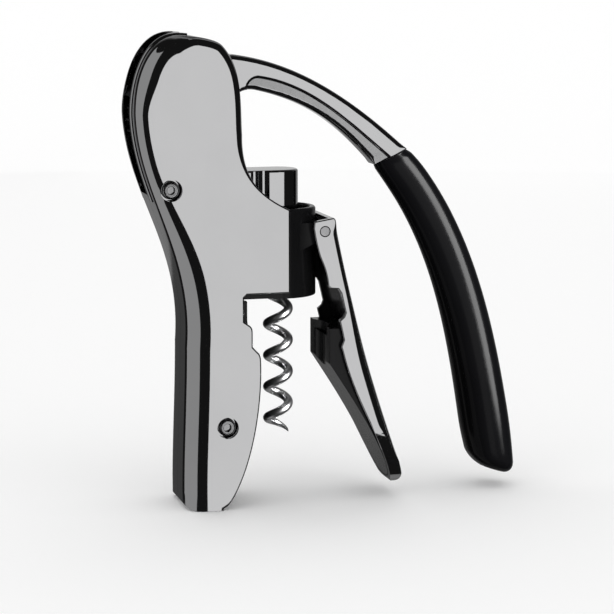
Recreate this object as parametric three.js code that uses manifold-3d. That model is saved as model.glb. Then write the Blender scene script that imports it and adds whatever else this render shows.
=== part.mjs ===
// Vertical lever corkscrew: two cast side shells carry a toothed lever that lifts a rack,
// the rack's carriage carries the worm, and a hinged clamp holds the bottle's neck.
// Millimetres, +Z up, +X towards the handle, origin on the worm's axis at the rim seat.
import * as THREE from 'three';
import { mergeVertices } from 'three/addons/utils/BufferGeometryUtils.js';
import Module from 'manifold-3d';

// ---------- driving dimensions ----------
const RUNNING_GAP = 0.3; // between pieces that only lie beside each other
const BORE_GAP = 0.2; // radial, between a pin and its hole

// lever, gear and rack
const PIVOT_X = -30.2;
const PIVOT_Z = 52.5;
const GEAR_MODULE = 1;
const GEAR_TEETH = 27; // of the full circle that the sector belongs to
const SECTOR_TEETH = 16;
const PRESSURE_ANGLE = THREE.MathUtils.degToRad(20);
const TOOTH_BACKLASH = 0.25;
const RACK_TEETH = 16;
const RACK_TEETH_BELOW_PIVOT = 14.5; // rack pitches from the pivot's height down to its foot
const RACK_BACK = 2.35; // solid behind the teeth's roots
const RACK_WIDTH = 8;
const SECTOR_WIDTH = 5;
const SECTOR_BORE_RADIUS = 5.9;
const HUB_CHEEK_RADIUS = 11.4;
const DRUM_RADIUS = 14.2;
const ARM_WIDTH = 8.6;
const AXLE_RADIUS = 2.5;
const AXLE_LENGTH = 19.4;
const BUSH_WALL = 1;
const BUSH_FLANGE_RADIUS = 5.2;
const BUSH_FLANGE = 0.6;
const BUSH_SEAT_GAP = 0.1; // under each bush's flange
const BUSH_END_GAP = 0.15; // from each bush's inner end to the middle plane
const ARM_STEP_DEPTH = 0.7; // how far the lower band of each side is let in
const RIVET_RADIUS = 1.2;
const RIVET_CIRCLE = 8.7;

// housing shells
const BODY_WIDTH = 26.4;
const SHELL_WALL = 1.7;
const SEAM_GAP = 0.1;
const SLOT_WIDTH = 9.6;
const SLOT_FOOT_Z = 31;
const LIP_HEIGHT = 0.6;
const LIP_WIDTH = 1.5;
const HEAD_BACK_ROUNDING = 3.4;
const HEAD_FRONT_ROUNDING = 2.4;
const LOWER_BACK_ROUNDING = 6.5;
const PLATE_EDGE_ROUNDING = 0.5;
const AXLE_BOSS_RADIUS = 6;

// bottle neck that the tool is shaped for
const NECK_RADIUS = 14;
const LIP_RADIUS = 14.8;
const LIP_DEPTH = 15;
const NECK_GAP = 0.4;

// worm, nut and carriage
const WORM_OUTER_RADIUS = 4.5;
const WORM_WIRE_RADIUS = 1.35;
const WORM_LEAD = 9.5;
const WORM_TIP_Z = -42;
const WORM_POINT_HEIGHT = 2.4; // the wire tapers to its point over this height
const WORM_CHANNEL_GAP = 0.45;
const SHANK_RADIUS = 2.9;
const COLLAR_THICKNESS = 1.6;
const NUT_TOP_Z = 11;
const NUT_FOOT_Z = 0.6;
const CARRIAGE_FOOT_Z = 13.5;
const CARRIAGE_TOP_Z = 37.3;
const CARRIAGE_RADIUS = 6;
const CARRIAGE_FLOOR = 4;
const CARRIAGE_WALL = 1.1;
const WASHER_THICKNESS = 1;
const CLIP_THICKNESS = 0.9;

// guide frame
const TUBE_WALL = 2;
const TUBE_TOP_Z = 26.3;

// clamp
const CLAMP_PIN_SET_IN = 0.2; // how far the pin's axis lies inside the tube's front
const CLAMP_PIN_Z = 19.7;
const CLAMP_PIN_RADIUS = 1.45;
const CLAMP_SIDE_STEP = 0.1; // how far each flange's outer face lies inside the shells' faces
const CLAMP_WALL = 1.6;
const CLAMP_FRONT_WALL = 1.9; // its top edge is the stop that meets the tube when the clamp is fully open
const CLAMP_ROUNDING = 3;
const CLAMP_TOP_ROUNDING = 1.3;

// grip
const GRIP_END_X = 67.5; // middle of its blunt end
const GRIP_END_Z = -56.7;
const GRIP_END_HALF_WIDTH = 8.5;
const GRIP_ROOT_HALF_WIDTH = 4.9;
const GRIP_END_HALF_DEPTH = 7.4;
const GRIP_ROOT_HALF_DEPTH = 5.6;
const TANG_SHARE = 0.22; // of the grip's middle line that the tang reaches along
const TANG_DEPTH = 4.6;
const TANG_WIDTH = 5.2;

// socket screws and their sleeve nuts
const UPPER_SCREW = { x: -34.6, z: 32.9 };
const LOWER_SCREW = { x: -18.4, z: -37.3 };
const SCREW_HEAD_RADIUS = 2.6;
const SCREW_HEAD_HEIGHT = 2;
const SCREW_HEAD_SUNK = 0.5;
const SCREW_RADIUS = 1.5;
const SLEEVE_RADIUS = 2.5;
const SLEEVE_HEAD_WALL = 5; // solid left between the thread's end and the sleeve nut's outer face
const SCREW_END_GAP = 1; // from the screw's end to the bottom of the thread
const SOCKET_RADIUS = 1.25;
const SOCKET_DEPTH = 1.2;
const COUNTERBORE_RADIUS = 3.2;
const COUNTERBORE_FLOOR = 1.4;

// ---------- worked out from them ----------
const PITCH_RADIUS = (GEAR_MODULE * GEAR_TEETH) / 2;
const TIP_RADIUS = PITCH_RADIUS + GEAR_MODULE;
const ROOT_RADIUS = PITCH_RADIUS - 1.25 * GEAR_MODULE;
const RACK_PITCH = Math.PI * GEAR_MODULE;
const PITCH_LINE_X = PIVOT_X + PITCH_RADIUS;
const RACK_ROOT_X = PITCH_LINE_X + 1.25 * GEAR_MODULE;
const RACK_FRONT_X = RACK_ROOT_X + RACK_BACK;
const RACK_FOOT_Z = PIVOT_Z - RACK_PITCH * RACK_TEETH_BELOW_PIVOT;
const RACK_TOP_Z = RACK_FOOT_Z + RACK_PITCH * RACK_TEETH;
const BODY_HALF = BODY_WIDTH / 2;
const SHELL_INNER_HALF = BODY_HALF - SHELL_WALL;
const BUSH_OUTER_RADIUS = AXLE_RADIUS + BORE_GAP + BUSH_WALL;
const BUSH_SEAT_Y = ARM_WIDTH / 2 + BUSH_SEAT_GAP;
const BUSH_FACE_Y = BUSH_SEAT_Y + BUSH_FLANGE;
const COUNTERBORE_FLOOR_Y = BODY_HALF - SCREW_HEAD_HEIGHT - SCREW_HEAD_SUNK;
const SCREW_BOSS_Y = COUNTERBORE_FLOOR_Y - COUNTERBORE_FLOOR;
const SCREW_BOSS_RADIUS = COUNTERBORE_RADIUS + 1;
const HELIX_RADIUS = WORM_OUTER_RADIUS - WORM_WIRE_RADIUS;
const FRAME_HALF = SHELL_INNER_HALF - RUNNING_GAP; // the mouldings fill the width between the shells
const TUBE_RADIUS = FRAME_HALF;
const CLAMP_PIN_X = TUBE_RADIUS - CLAMP_PIN_SET_IN;
const CLAMP_HALF = BODY_HALF - CLAMP_SIDE_STEP;
const CLAMP_INNER_HALF = CLAMP_HALF - CLAMP_WALL;

// ---------- solids ----------
const wasm = await Module();
wasm.setup();

function toSolid(geometry) {
  const bare = geometry.clone();
  bare.deleteAttribute('normal');
  bare.deleteAttribute('uv');
  const merged = mergeVertices(bare, 1e-4);
  return new wasm.Manifold(
    new wasm.Mesh({
      numProp: 3,
      vertProperties: new Float32Array(merged.attributes.position.array),
      triVerts: new Uint32Array(merged.index.array),
    }),
  );
}

function toGeometry(solid) {
  const mesh = solid.getMesh();
  const geometry = new THREE.BufferGeometry();
  geometry.setAttribute('position', new THREE.BufferAttribute(new Float32Array(mesh.vertProperties), 3));
  geometry.setIndex([...mesh.triVerts]);
  geometry.computeVertexNormals();
  return geometry;
}

const combine = (operation) => (first, ...others) => {
  const start = toSolid(first);
  return toGeometry(others.reduce((solid, other) => solid[operation](toSolid(other)), start));
};
const join = combine('add');
const cut = combine('subtract');
const overlap = combine('intersect');

const smooth = THREE.MathUtils.smoothstep;
const mix = THREE.MathUtils.lerp;
const point = (x, z) => new THREE.Vector2(x, z);
const degrees = THREE.MathUtils.degToRad;
const polar = (radius, angle) => (
  point(PIVOT_X + radius * Math.cos(angle), PIVOT_Z + radius * Math.sin(angle))
);

// A side-view shape pushed across the tool from one Y to another.
function prism(shape, fromY, toY, curveSegments = 8) {
  const depth = toY - fromY;
  const geometry = new THREE.ExtrudeGeometry(shape, { depth, bevelEnabled: false, curveSegments });
  return geometry.rotateX(Math.PI / 2).translate(0, toY, 0);
}

// A plan-view shape raised from one height to another.
function column(shape, fromZ, toZ, curveSegments = 8) {
  const depth = toZ - fromZ;
  const geometry = new THREE.ExtrudeGeometry(shape, { depth, bevelEnabled: false, curveSegments });
  return geometry.translate(0, 0, fromZ);
}

function box(fromX, toX, fromY, toY, fromZ, toZ) {
  return new THREE.BoxGeometry(toX - fromX, toY - fromY, toZ - fromZ).translate(
    (fromX + toX) / 2,
    (fromY + toY) / 2,
    (fromZ + toZ) / 2,
  );
}

const crossRod = (radius, x, z, fromY, toY, sides = 32) =>
  new THREE.CylinderGeometry(radius, radius, toY - fromY, sides).translate(x, (fromY + toY) / 2, z);

const uprightRod = (radius, fromZ, toZ, sides = 32) =>
  new THREE.CylinderGeometry(radius, radius, toZ - fromZ, sides)
    .rotateX(Math.PI / 2)
    .translate(0, 0, (fromZ + toZ) / 2);

// A ring turned about the worm's axis.
function uprightRing(innerRadius, outerRadius, fromZ, toZ, sides = 40) {
  const profile = [
    point(innerRadius, fromZ),
    point(outerRadius, fromZ),
    point(outerRadius, toZ),
    point(innerRadius, toZ),
    point(innerRadius, fromZ),
  ];
  return new THREE.LatheGeometry(profile, sides).rotateX(Math.PI / 2);
}

// The corners of a closed path: one for each straight, several along each curve.
function cornersOf(path, spacing = 3.4) {
  return path.curves.flatMap((curve) => {
    if (curve.isLineCurve) return [curve.getPoint(0)];
    const count = Math.max(3, Math.round(curve.getLength() / spacing));
    return Array.from({ length: count }, (_, i) => curve.getPoint(i / count));
  });
}

// Moves each corner along the outline's inward normal by its own distance.
function inset(corners, distanceAt) {
  const last = corners.length - 1;
  return corners.map((corner, i) => {
    const before = corner.clone().sub(corners[i ? i - 1 : last]).normalize();
    const after = corners[i < last ? i + 1 : 0].clone().sub(corner).normalize();
    const normal = point(-before.y - after.y, before.x + after.x).normalize();
    const stretch = Math.max(0.5, normal.dot(point(-after.y, after.x)));
    return corner.clone().addScaledVector(normal, distanceAt(corner, i) / stretch);
  });
}

// A slab across the tool whose side edges are rounded by a radius that may change along the outline.
function roundedSlab(corners, halfWidth, roundingAt, steps = 3) {
  const rings = [];
  const addRing = (turn, side) => {
    const ring = inset(corners, (corner) => roundingAt(corner) * (1 - Math.cos(turn)));
    rings.push(ring.map((p, i) => {
      const rounding = roundingAt(corners[i]);
      return new THREE.Vector3(p.x, side * (halfWidth - rounding + rounding * Math.sin(turn)), p.y);
    }));
  };
  for (let i = steps; i >= 0; i--) addRing((i / steps) * (Math.PI / 2), -1);
  for (let i = 0; i <= steps; i++) addRing((i / steps) * (Math.PI / 2), 1);
  return ringsToGeometry(rings);
}

// Joins rings of equal count, each counter-clockwise seen from -Y, and closes both ends.
function ringsToGeometry(rings) {
  const count = rings[0].length;
  const index = [];
  for (let r = 0; r + 1 < rings.length; r++) {
    for (let i = 0; i < count; i++) {
      const j = (i + 1) % count;
      const [a, b, c, d] = [r * count + i, r * count + j, (r + 1) * count + j, (r + 1) * count + i];
      index.push(a, d, b, b, d, c);
    }
  }
  const flat = (ring) => ring.map((p) => point(p.x, p.z));
  const far = (rings.length - 1) * count;
  for (const [a, b, c] of THREE.ShapeUtils.triangulateShape(flat(rings[0]), [])) index.push(a, b, c);
  for (const [a, b, c] of THREE.ShapeUtils.triangulateShape(flat(rings.at(-1)), [])) {
    index.push(far + a, far + c, far + b);
  }
  const geometry = new THREE.BufferGeometry().setFromPoints(rings.flat());
  return geometry.setIndex(index);
}

const group = new THREE.Group();

function addPiece(name, geometry, material) {
  const mesh = new THREE.Mesh(geometry, new THREE.MeshStandardMaterial(material));
  mesh.name = name;
  group.add(mesh);
  return mesh;
}

const CHROME = { color: 0xc9c9cb, roughness: 0.08, metalness: 1 };
const STEEL = { color: 0xb4b4b6, roughness: 0.25, metalness: 1 };
const DARK_STEEL = { color: 0x2c2c2e, roughness: 0.35, metalness: 1 };
const BLACK_PLASTIC = { color: 0x101011, roughness: 0.35, metalness: 0 };
const GLOSS_BLACK = { color: 0x08080a, roughness: 0.12, metalness: 0 };
const WHITE_PLASTIC = { color: 0xd8d6cf, roughness: 0.45, metalness: 0 };

// ---------- housing shells ----------
const HEAD_TOP_Z = 77;
const HEAD_BACK_X = -44.5;
const HEAD_FRONT_X = -13.3;
const SHOULDER_Z = 26.4;
const PLATE_FRONT_X = 0.4;
const PLATE_LEDGE_Z = 1.9;
const WAIST_BACK_X = -29.8;
const WAIST_Z = -13.8;
const FOOT_BACK_X = -30.9;
const FOOT_Z = -61.9;
const LIP_RECESS_X = -13.4;
const LIP_RECESS_FOOT_Z = -6;
const COLLAR_RECESS_X = -10.8;
const COLLAR_RECESS_FOOT_Z = -13.6;
const NECK_EDGE_X = -8.3;
const NECK_EDGE_Z = -18;

// The side view of the shells, counter-clockwise from the top of the plates' front edge.
function housingPath() {
  const path = new THREE.Path();
  path.moveTo(PLATE_FRONT_X, SHOULDER_Z);
  path.bezierCurveTo(-9.7, 31.2, HEAD_FRONT_X - 0.4, 36.7, HEAD_FRONT_X, 48.3);
  path.bezierCurveTo(HEAD_FRONT_X - 0.5, 56.7, -12.8, 67.3, -19, HEAD_TOP_Z - 3);
  path.bezierCurveTo(-20.6, HEAD_TOP_Z - 1.1, -27, HEAD_TOP_Z - 0.2, -31, HEAD_TOP_Z);
  path.bezierCurveTo(-40.6, HEAD_TOP_Z, HEAD_BACK_X, 64, HEAD_BACK_X, 54.3);
  path.bezierCurveTo(HEAD_BACK_X + 0.9, 30.3, WAIST_BACK_X + 2.2, 14.4, WAIST_BACK_X, WAIST_Z);
  path.bezierCurveTo(WAIST_BACK_X - 0.1, -30, FOOT_BACK_X, -45, FOOT_BACK_X, FOOT_Z + 5);
  path.bezierCurveTo(FOOT_BACK_X, FOOT_Z + 2, FOOT_BACK_X + 2, FOOT_Z, FOOT_BACK_X + 5, FOOT_Z);
  path.lineTo(-21.5, FOOT_Z);
  path.bezierCurveTo(-19.6, FOOT_Z, -18.6, FOOT_Z + 0.7, -17.7, FOOT_Z + 2);
  path.bezierCurveTo(-10.7, -49.6, NECK_EDGE_X + 0.5, -30.4, NECK_EDGE_X, NECK_EDGE_Z);
  path.quadraticCurveTo(NECK_EDGE_X, NECK_EDGE_Z + 2.2, NECK_EDGE_X - 1.2, NECK_EDGE_Z + 3);
  path.lineTo(COLLAR_RECESS_X, COLLAR_RECESS_FOOT_Z);
  path.lineTo(COLLAR_RECESS_X, COLLAR_RECESS_FOOT_Z + 4.5);
  const stepZ = LIP_RECESS_FOOT_Z - 1;
  path.quadraticCurveTo(COLLAR_RECESS_X, stepZ - 0.6, COLLAR_RECESS_X - 1.2, stepZ);
  path.lineTo(LIP_RECESS_X, LIP_RECESS_FOOT_Z);
  path.lineTo(LIP_RECESS_X, PLATE_LEDGE_Z - 0.9);
  path.lineTo(LIP_RECESS_X + 0.9, PLATE_LEDGE_Z);
  path.lineTo(PLATE_FRONT_X, PLATE_LEDGE_Z);
  path.lineTo(PLATE_FRONT_X, SHOULDER_Z);
  return path;
}

const housingCorners = cornersOf(housingPath());
const housingInnerCorners = cornersOf(housingPath(), 5.5);

// Large soft rounding down the back, smaller round the head's front, crisp plate edges.
function housingRounding({ x, y: z }) {
  const back = mix(HEAD_BACK_ROUNDING, LOWER_BACK_ROUNDING, 1 - smooth(z, 4, 40));
  const front = mix(PLATE_EDGE_ROUNDING, HEAD_FRONT_ROUNDING, smooth(z, 30, 50));
  const spineX = mix(-24, -30, smooth(z, 0, 60));
  const rounding = mix(back, front, smooth(x, spineX - 3, spineX + 4));
  return mix(PLATE_EDGE_ROUNDING * 2, rounding, smooth(z, FOOT_Z, FOOT_Z + 5));
}

// The hollow between the shells: walls all round, open forward below the head.
function housingHollow(gap = 0) {
  const openX = PLATE_FRONT_X + 20;
  const openTopZ = 44;
  const walled = inset(housingInnerCorners, () => SHELL_WALL + gap);
  const openFrom = walled.findIndex((p) => p.y > openTopZ);
  const footAt = walled.findIndex((p) => p.x > -24 && p.y < FOOT_Z + 3);
  const front = [point(openX, FOOT_Z + SHELL_WALL), point(openX, openTopZ)];
  const rounding = (corner) => (
    corner.x > -8 ? 0.4 : Math.max(0.4, housingRounding(corner) - SHELL_WALL - gap)
  );
  return roundedSlab([...front, ...walled.slice(openFrom, footAt)], SHELL_INNER_HALF - gap, rounding, 2);
}

// Blind holes from the bosses' ends take the axle.
function axleBoss(side) {
  const ends = [side * (BUSH_FACE_Y + RUNNING_GAP), side * (SHELL_INNER_HALF + 0.8)].sort((a, b) => a - b);
  return crossRod(AXLE_BOSS_RADIUS, PIVOT_X, PIVOT_Z, ...ends);
}

function housingShell(side) {
  const reach = (from, to) => [side * from, side * to].sort((a, b) => a - b);
  const lips = overlap(
    roundedSlab(inset(housingCorners, () => -LIP_HEIGHT), SLOT_WIDTH / 2 + LIP_WIDTH, () => LIP_HEIGHT, 2),
    box(-60, PIVOT_X + 2, -BODY_HALF, BODY_HALF, SLOT_FOOT_Z - 2, HEAD_TOP_Z + 5),
  );
  const skin = join(roundedSlab(housingCorners, BODY_HALF, housingRounding), lips);
  const screwHoles = [UPPER_SCREW, LOWER_SCREW].flatMap(({ x, z }) => [
    crossRod(SLEEVE_RADIUS + BORE_GAP, x, z, -BODY_HALF - 1, BODY_HALF + 1, 24),
    crossRod(COUNTERBORE_RADIUS, x, z, ...reach(COUNTERBORE_FLOOR_Y, BODY_HALF + 1), 24),
  ]);
  const half = cut(
    skin,
    housingHollow(),
    box(-60, 20, ...reach(-BODY_HALF - 1, SEAM_GAP / 2), FOOT_Z - 2, HEAD_TOP_Z + 5),
    box(-60, 5, -SLOT_WIDTH / 2, SLOT_WIDTH / 2, SLOT_FOOT_Z, HEAD_TOP_Z + 5),
  );
  const screwBosses = [UPPER_SCREW, LOWER_SCREW].map(({ x, z }) => (
    crossRod(SCREW_BOSS_RADIUS, x, z, ...reach(SCREW_BOSS_Y, SHELL_INNER_HALF + 0.8), 24)
  ));
  return cut(
    join(half, axleBoss(side), ...screwBosses),
    crossRod(AXLE_RADIUS + BORE_GAP, PIVOT_X, PIVOT_Z, ...reach(0, AXLE_LENGTH / 2 + RUNNING_GAP)),
    ...screwHoles,
  );
}

addPiece('housing_left', housingShell(-1), CHROME);
addPiece('housing_right', housingShell(1), CHROME);

// ---------- guide frame, rear neck pad ----------
const GUIDE_HALF_GAP = CARRIAGE_RADIUS + RUNNING_GAP + 0.2; // half the carriage's way between the cheeks
const EAR_RADIUS = 2.3;
const EAR_INNER_Y = 8.6;

// The hollow between the shells, less a gap, as the space that the mouldings inside may fill.
function insideShells(shape) {
  const hollow = housingHollow(RUNNING_GAP);
  return overlap(hollow, prism(shape, -FRAME_HALF, FRAME_HALF));
}

// Clears what the screws, their sleeves and the shells' screw bosses need.
function screwWay({ x, z }) {
  return join(
    crossRod(SLEEVE_RADIUS + BORE_GAP, x, z, -BODY_HALF, BODY_HALF, 24),
    crossRod(SCREW_BOSS_RADIUS + RUNNING_GAP, x, z, SCREW_BOSS_Y - RUNNING_GAP, BODY_HALF, 24),
    crossRod(SCREW_BOSS_RADIUS + RUNNING_GAP, x, z, -BODY_HALF, RUNNING_GAP - SCREW_BOSS_Y, 24),
  );
}

function clampEar(side) {
  const shape = new THREE.Shape();
  shape.moveTo(0, CLAMP_PIN_Z - 8);
  shape.absarc(CLAMP_PIN_X, CLAMP_PIN_Z, EAR_RADIUS, -0.9, Math.PI / 2, false);
  shape.lineTo(0, CLAMP_PIN_Z + EAR_RADIUS);
  const [near, far] = [side * EAR_INNER_Y, side * FRAME_HALF].sort((a, b) => a - b);
  return prism(shape, near, far);
}

function guideFrame() {
  const cheekShape = new THREE.Shape([
    point(-1, 0.3),
    point(-1, TUBE_TOP_Z - 2),
    point(-14, TUBE_TOP_Z + 4),
    point(-24, TUBE_TOP_Z + 10.5),
    point(-44, TUBE_TOP_Z + 11.5),
    point(-44, 24),
    point(-26, 0.3),
  ]);
  const cheeks = cut(
    insideShells(cheekShape),
    box(-50, 1, -GUIDE_HALF_GAP, GUIDE_HALF_GAP, -1, TUBE_TOP_Z + 20),
  );
  const blocks = join(
    uprightRod(TUBE_RADIUS, 0, TUBE_TOP_Z, 40),
    cheeks,
    clampEar(-1),
    clampEar(1),
  );
  return cut(
    blocks,
    uprightRod(TUBE_RADIUS - TUBE_WALL, -1, TUBE_TOP_Z + 5, 40),
    box(-20, 0, -GUIDE_HALF_GAP, GUIDE_HALF_GAP, NUT_TOP_Z + 1, TUBE_TOP_Z + 20),
    screwWay(UPPER_SCREW),
    crossRod(CLAMP_PIN_RADIUS + BORE_GAP, CLAMP_PIN_X, CLAMP_PIN_Z, -BODY_HALF, BODY_HALF, 24),
  );
}

addPiece('guide_frame', guideFrame(), BLACK_PLASTIC);

// The bottle's neck and lip with their clearance, turned about the worm's axis.
function neckClearance() {
  const neck = NECK_RADIUS + NECK_GAP;
  const lip = LIP_RADIUS + NECK_GAP;
  const profile = [
    point(0, FOOT_Z - 10),
    point(neck, FOOT_Z - 10),
    point(neck, -LIP_DEPTH),
    point(lip, -LIP_DEPTH + 2),
    point(lip, 1),
    point(0, 1),
  ];
  return new THREE.LatheGeometry(profile, 64).rotateX(Math.PI / 2);
}

function neckPad() {
  const shape = new THREE.Shape([
    point(-12, -0.3),
    point(-33, -0.3),
    point(-33, FOOT_Z),
    point(-19.5, FOOT_Z),
    point(-13, -50),
    point(NECK_EDGE_X - 2, -30),
    point(NECK_EDGE_X - 2, NECK_EDGE_Z),
    point(-12, LIP_RECESS_FOOT_Z),
  ]);
  return cut(insideShells(shape), neckClearance(), screwWay(LOWER_SCREW));
}

addPiece('neck_pad', neckPad(), BLACK_PLASTIC);

// ---------- fasteners, axle and pins ----------
function socketScrew({ x, z }) {
  const headFaceY = -BODY_HALF + SCREW_HEAD_SUNK;
  const endY = BODY_HALF - SLEEVE_HEAD_WALL - SCREW_END_GAP;
  const head = crossRod(SCREW_HEAD_RADIUS, x, z, headFaceY, headFaceY + SCREW_HEAD_HEIGHT, 24);
  const shank = crossRod(SCREW_RADIUS, x, z, headFaceY + SCREW_HEAD_HEIGHT / 2, endY, 16);
  const socket = crossRod(SOCKET_RADIUS, x, z, headFaceY - 1, headFaceY + SOCKET_DEPTH, 6);
  return cut(join(head, shank), socket);
}

function sleeveNut({ x, z }) {
  const headFaceY = BODY_HALF - SCREW_HEAD_SUNK;
  const head = crossRod(SCREW_HEAD_RADIUS, x, z, headFaceY - SCREW_HEAD_HEIGHT, headFaceY, 24);
  const sleeve = crossRod(SLEEVE_RADIUS, x, z, -SCREW_BOSS_Y + 1, headFaceY - 1, 24);
  const thread = crossRod(SCREW_RADIUS + BORE_GAP, x, z, -BODY_HALF, BODY_HALF - SLEEVE_HEAD_WALL, 16);
  const socket = crossRod(SOCKET_RADIUS, x, z, headFaceY - SOCKET_DEPTH, headFaceY + 1, 6);
  return cut(join(head, sleeve), thread, socket);
}

for (const [place, screw] of [['upper', UPPER_SCREW], ['lower', LOWER_SCREW]]) {
  addPiece(`${place}_screw`, socketScrew(screw), STEEL);
  addPiece(`${place}_sleeve_nut`, sleeveNut(screw), STEEL);
}

const leverAxle = crossRod(AXLE_RADIUS, PIVOT_X, PIVOT_Z, -AXLE_LENGTH / 2, AXLE_LENGTH / 2);
const clampPin = crossRod(CLAMP_PIN_RADIUS, CLAMP_PIN_X, CLAMP_PIN_Z, -CLAMP_HALF, CLAMP_HALF, 24);
addPiece('lever_axle', leverAxle, STEEL);
addPiece('clamp_pin', clampPin, STEEL);

// ---------- lever: gear sector, arm, rivets, bushes, grip ----------
const TOOTH_ANGLE = (2 * Math.PI) / GEAR_TEETH;
const SECTOR_FROM = TOOTH_ANGLE; // the free edge ahead of the first tooth
const SECTOR_TO = TOOTH_ANGLE * (1 - SECTOR_TEETH);

// Half a tooth's angle at a radius, from the involute of the base circle.
function halfToothAngle(radius) {
  const baseRadius = PITCH_RADIUS * Math.cos(PRESSURE_ANGLE);
  const involute = (angle) => Math.tan(angle) - angle;
  const here = radius > baseRadius ? involute(Math.acos(baseRadius / radius)) : 0;
  const backlash = TOOTH_BACKLASH / 2 / PITCH_RADIUS;
  return Math.PI / 2 / GEAR_TEETH - backlash + involute(PRESSURE_ANGLE) - here;
}

// Toothed sector: the teeth run clockwise from just above the rack, straddling the rest position.
function gearSector() {
  const flankRadii = [ROOT_RADIUS, PITCH_RADIUS, TIP_RADIUS];
  const corners = [polar(SECTOR_BORE_RADIUS, SECTOR_FROM), polar(ROOT_RADIUS, SECTOR_FROM)];
  for (let tooth = 0; tooth < SECTOR_TEETH; tooth++) {
    const middle = TOOTH_ANGLE * (0.5 - tooth);
    const flank = (side) => flankRadii.map((r) => polar(r, middle + side * halfToothAngle(r)));
    corners.push(...flank(1), ...flank(-1).reverse());
  }
  corners.push(polar(ROOT_RADIUS, SECTOR_TO));
  for (let i = 0; i <= 12; i++) corners.push(polar(SECTOR_BORE_RADIUS, mix(SECTOR_TO, SECTOR_FROM, i / 12)));
  corners.pop();
  const plate = prism(new THREE.Shape(corners), -SECTOR_WIDTH / 2, SECTOR_WIDTH / 2);
  return cut(plate, ...rivetRods(RIVET_RADIUS + BORE_GAP, ARM_WIDTH));
}

const RIVET_ANGLES = [-25, -95, -165].map(degrees);

function rivetRods(radius, length) {
  return RIVET_ANGLES.map((angle) => {
    const { x, y: z } = polar(RIVET_CIRCLE, angle);
    return crossRod(radius, x, z, -length / 2, length / 2, 20);
  });
}

// Arm and hub in one casting; the hub is forked to straddle the gear sector.
const ARM_ROUNDING = 0.9;
const DRUM_FROM = degrees(27); // the drum's free edges, and where the arm's back leaves it
const DRUM_CROWN = degrees(86);
const DRUM_TO = degrees(154);
const ARM_BACK = point(-14.3, 71); // start and end of the arm's upper edge
const ARM_BACK_END = point(38.6, 42.5);
const ARM_BELLY = point(-7.6, 60.6); // and of its lower edge
const ARM_BELLY_END = point(28.9, 37.9);

function armOutline() {
  const path = new THREE.Path();
  const start = polar(DRUM_RADIUS, DRUM_FROM);
  path.moveTo(start.x, start.y);
  path.lineTo(ARM_BELLY.x - 4.6, ARM_BELLY.y - 0.6);
  path.quadraticCurveTo(ARM_BELLY.x - 2.8, ARM_BELLY.y + 0.4, ARM_BELLY.x, ARM_BELLY.y);
  path.bezierCurveTo(9.1, 56.9, 17.6, 50.4, ARM_BELLY_END.x, ARM_BELLY_END.y);
  path.lineTo(ARM_BACK_END.x, ARM_BACK_END.y);
  path.bezierCurveTo(23.6, 56, 6.3, 68.6, ARM_BACK.x, ARM_BACK.y);
  path.lineTo(ARM_BACK.x - 7.7, ARM_BACK.y - 1);
  const crown = polar(DRUM_RADIUS, DRUM_CROWN);
  path.lineTo(crown.x, crown.y);
  path.absarc(PIVOT_X, PIVOT_Z, DRUM_RADIUS, DRUM_CROWN, DRUM_TO, false);
  const foot = polar(HUB_CHEEK_RADIUS, DRUM_TO);
  path.lineTo(foot.x, foot.y);
  path.absarc(PIVOT_X, PIVOT_Z, HUB_CHEEK_RADIUS, DRUM_TO, DRUM_FROM + 2 * Math.PI, false);
  path.lineTo(start.x, start.y);
  return path;
}

// The lower band of each side, let in below the upper band.
function armRecess() {
  const shape = new THREE.Shape();
  shape.moveTo(-11, 56);
  shape.lineTo(-9.6, 62.2);
  shape.quadraticCurveTo(-8.6, 63.9, -6.9, 64);
  shape.bezierCurveTo(9.2, 61.7, 21.3, 49.6, 34.2, 38.8);
  shape.lineTo(30, 32);
  shape.bezierCurveTo(17.2, 45, 8.8, 52, -11, 56);
  return shape;
}

const ARM_END = ARM_BACK_END.clone().lerp(ARM_BELLY_END, 0.5);
const GRIP_LINE = new THREE.CubicBezierCurve(
  point(ARM_END.x + 0.55, ARM_END.y),
  point(ARM_END.x + 24.05, ARM_END.y - 26.8),
  point(GRIP_END_X - 5.4, GRIP_END_Z + 33.2),
  point(GRIP_END_X, GRIP_END_Z),
);
const GRIP_ROOT_ACROSS = point(0.91, 0.41); // the joint with the arm lies along this
const GRIP_END_ACROSS = point(0.95, -0.31); // and the blunt end along this
const gripCentreAt = (t) => GRIP_LINE.getPoint(t);

// A bar along the grip's middle line, for the tang and for the pocket that holds it.
function tang(halfDepth, halfWidth, fromT, toT) {
  const steps = 6;
  const line = Array.from({ length: steps + 1 }, (_, i) => gripCentreAt(mix(fromT, toT, i / steps)));
  const side = (sign) => line.map((p, i) => {
    const along = line[Math.min(i + 1, steps)].clone().sub(line[Math.max(i - 1, 0)]).normalize();
    return point(p.x + sign * halfDepth * -along.y, p.y + sign * halfDepth * along.x);
  });
  return prism(new THREE.Shape([...side(-1), ...side(1).reverse()]), -halfWidth, halfWidth);
}

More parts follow.
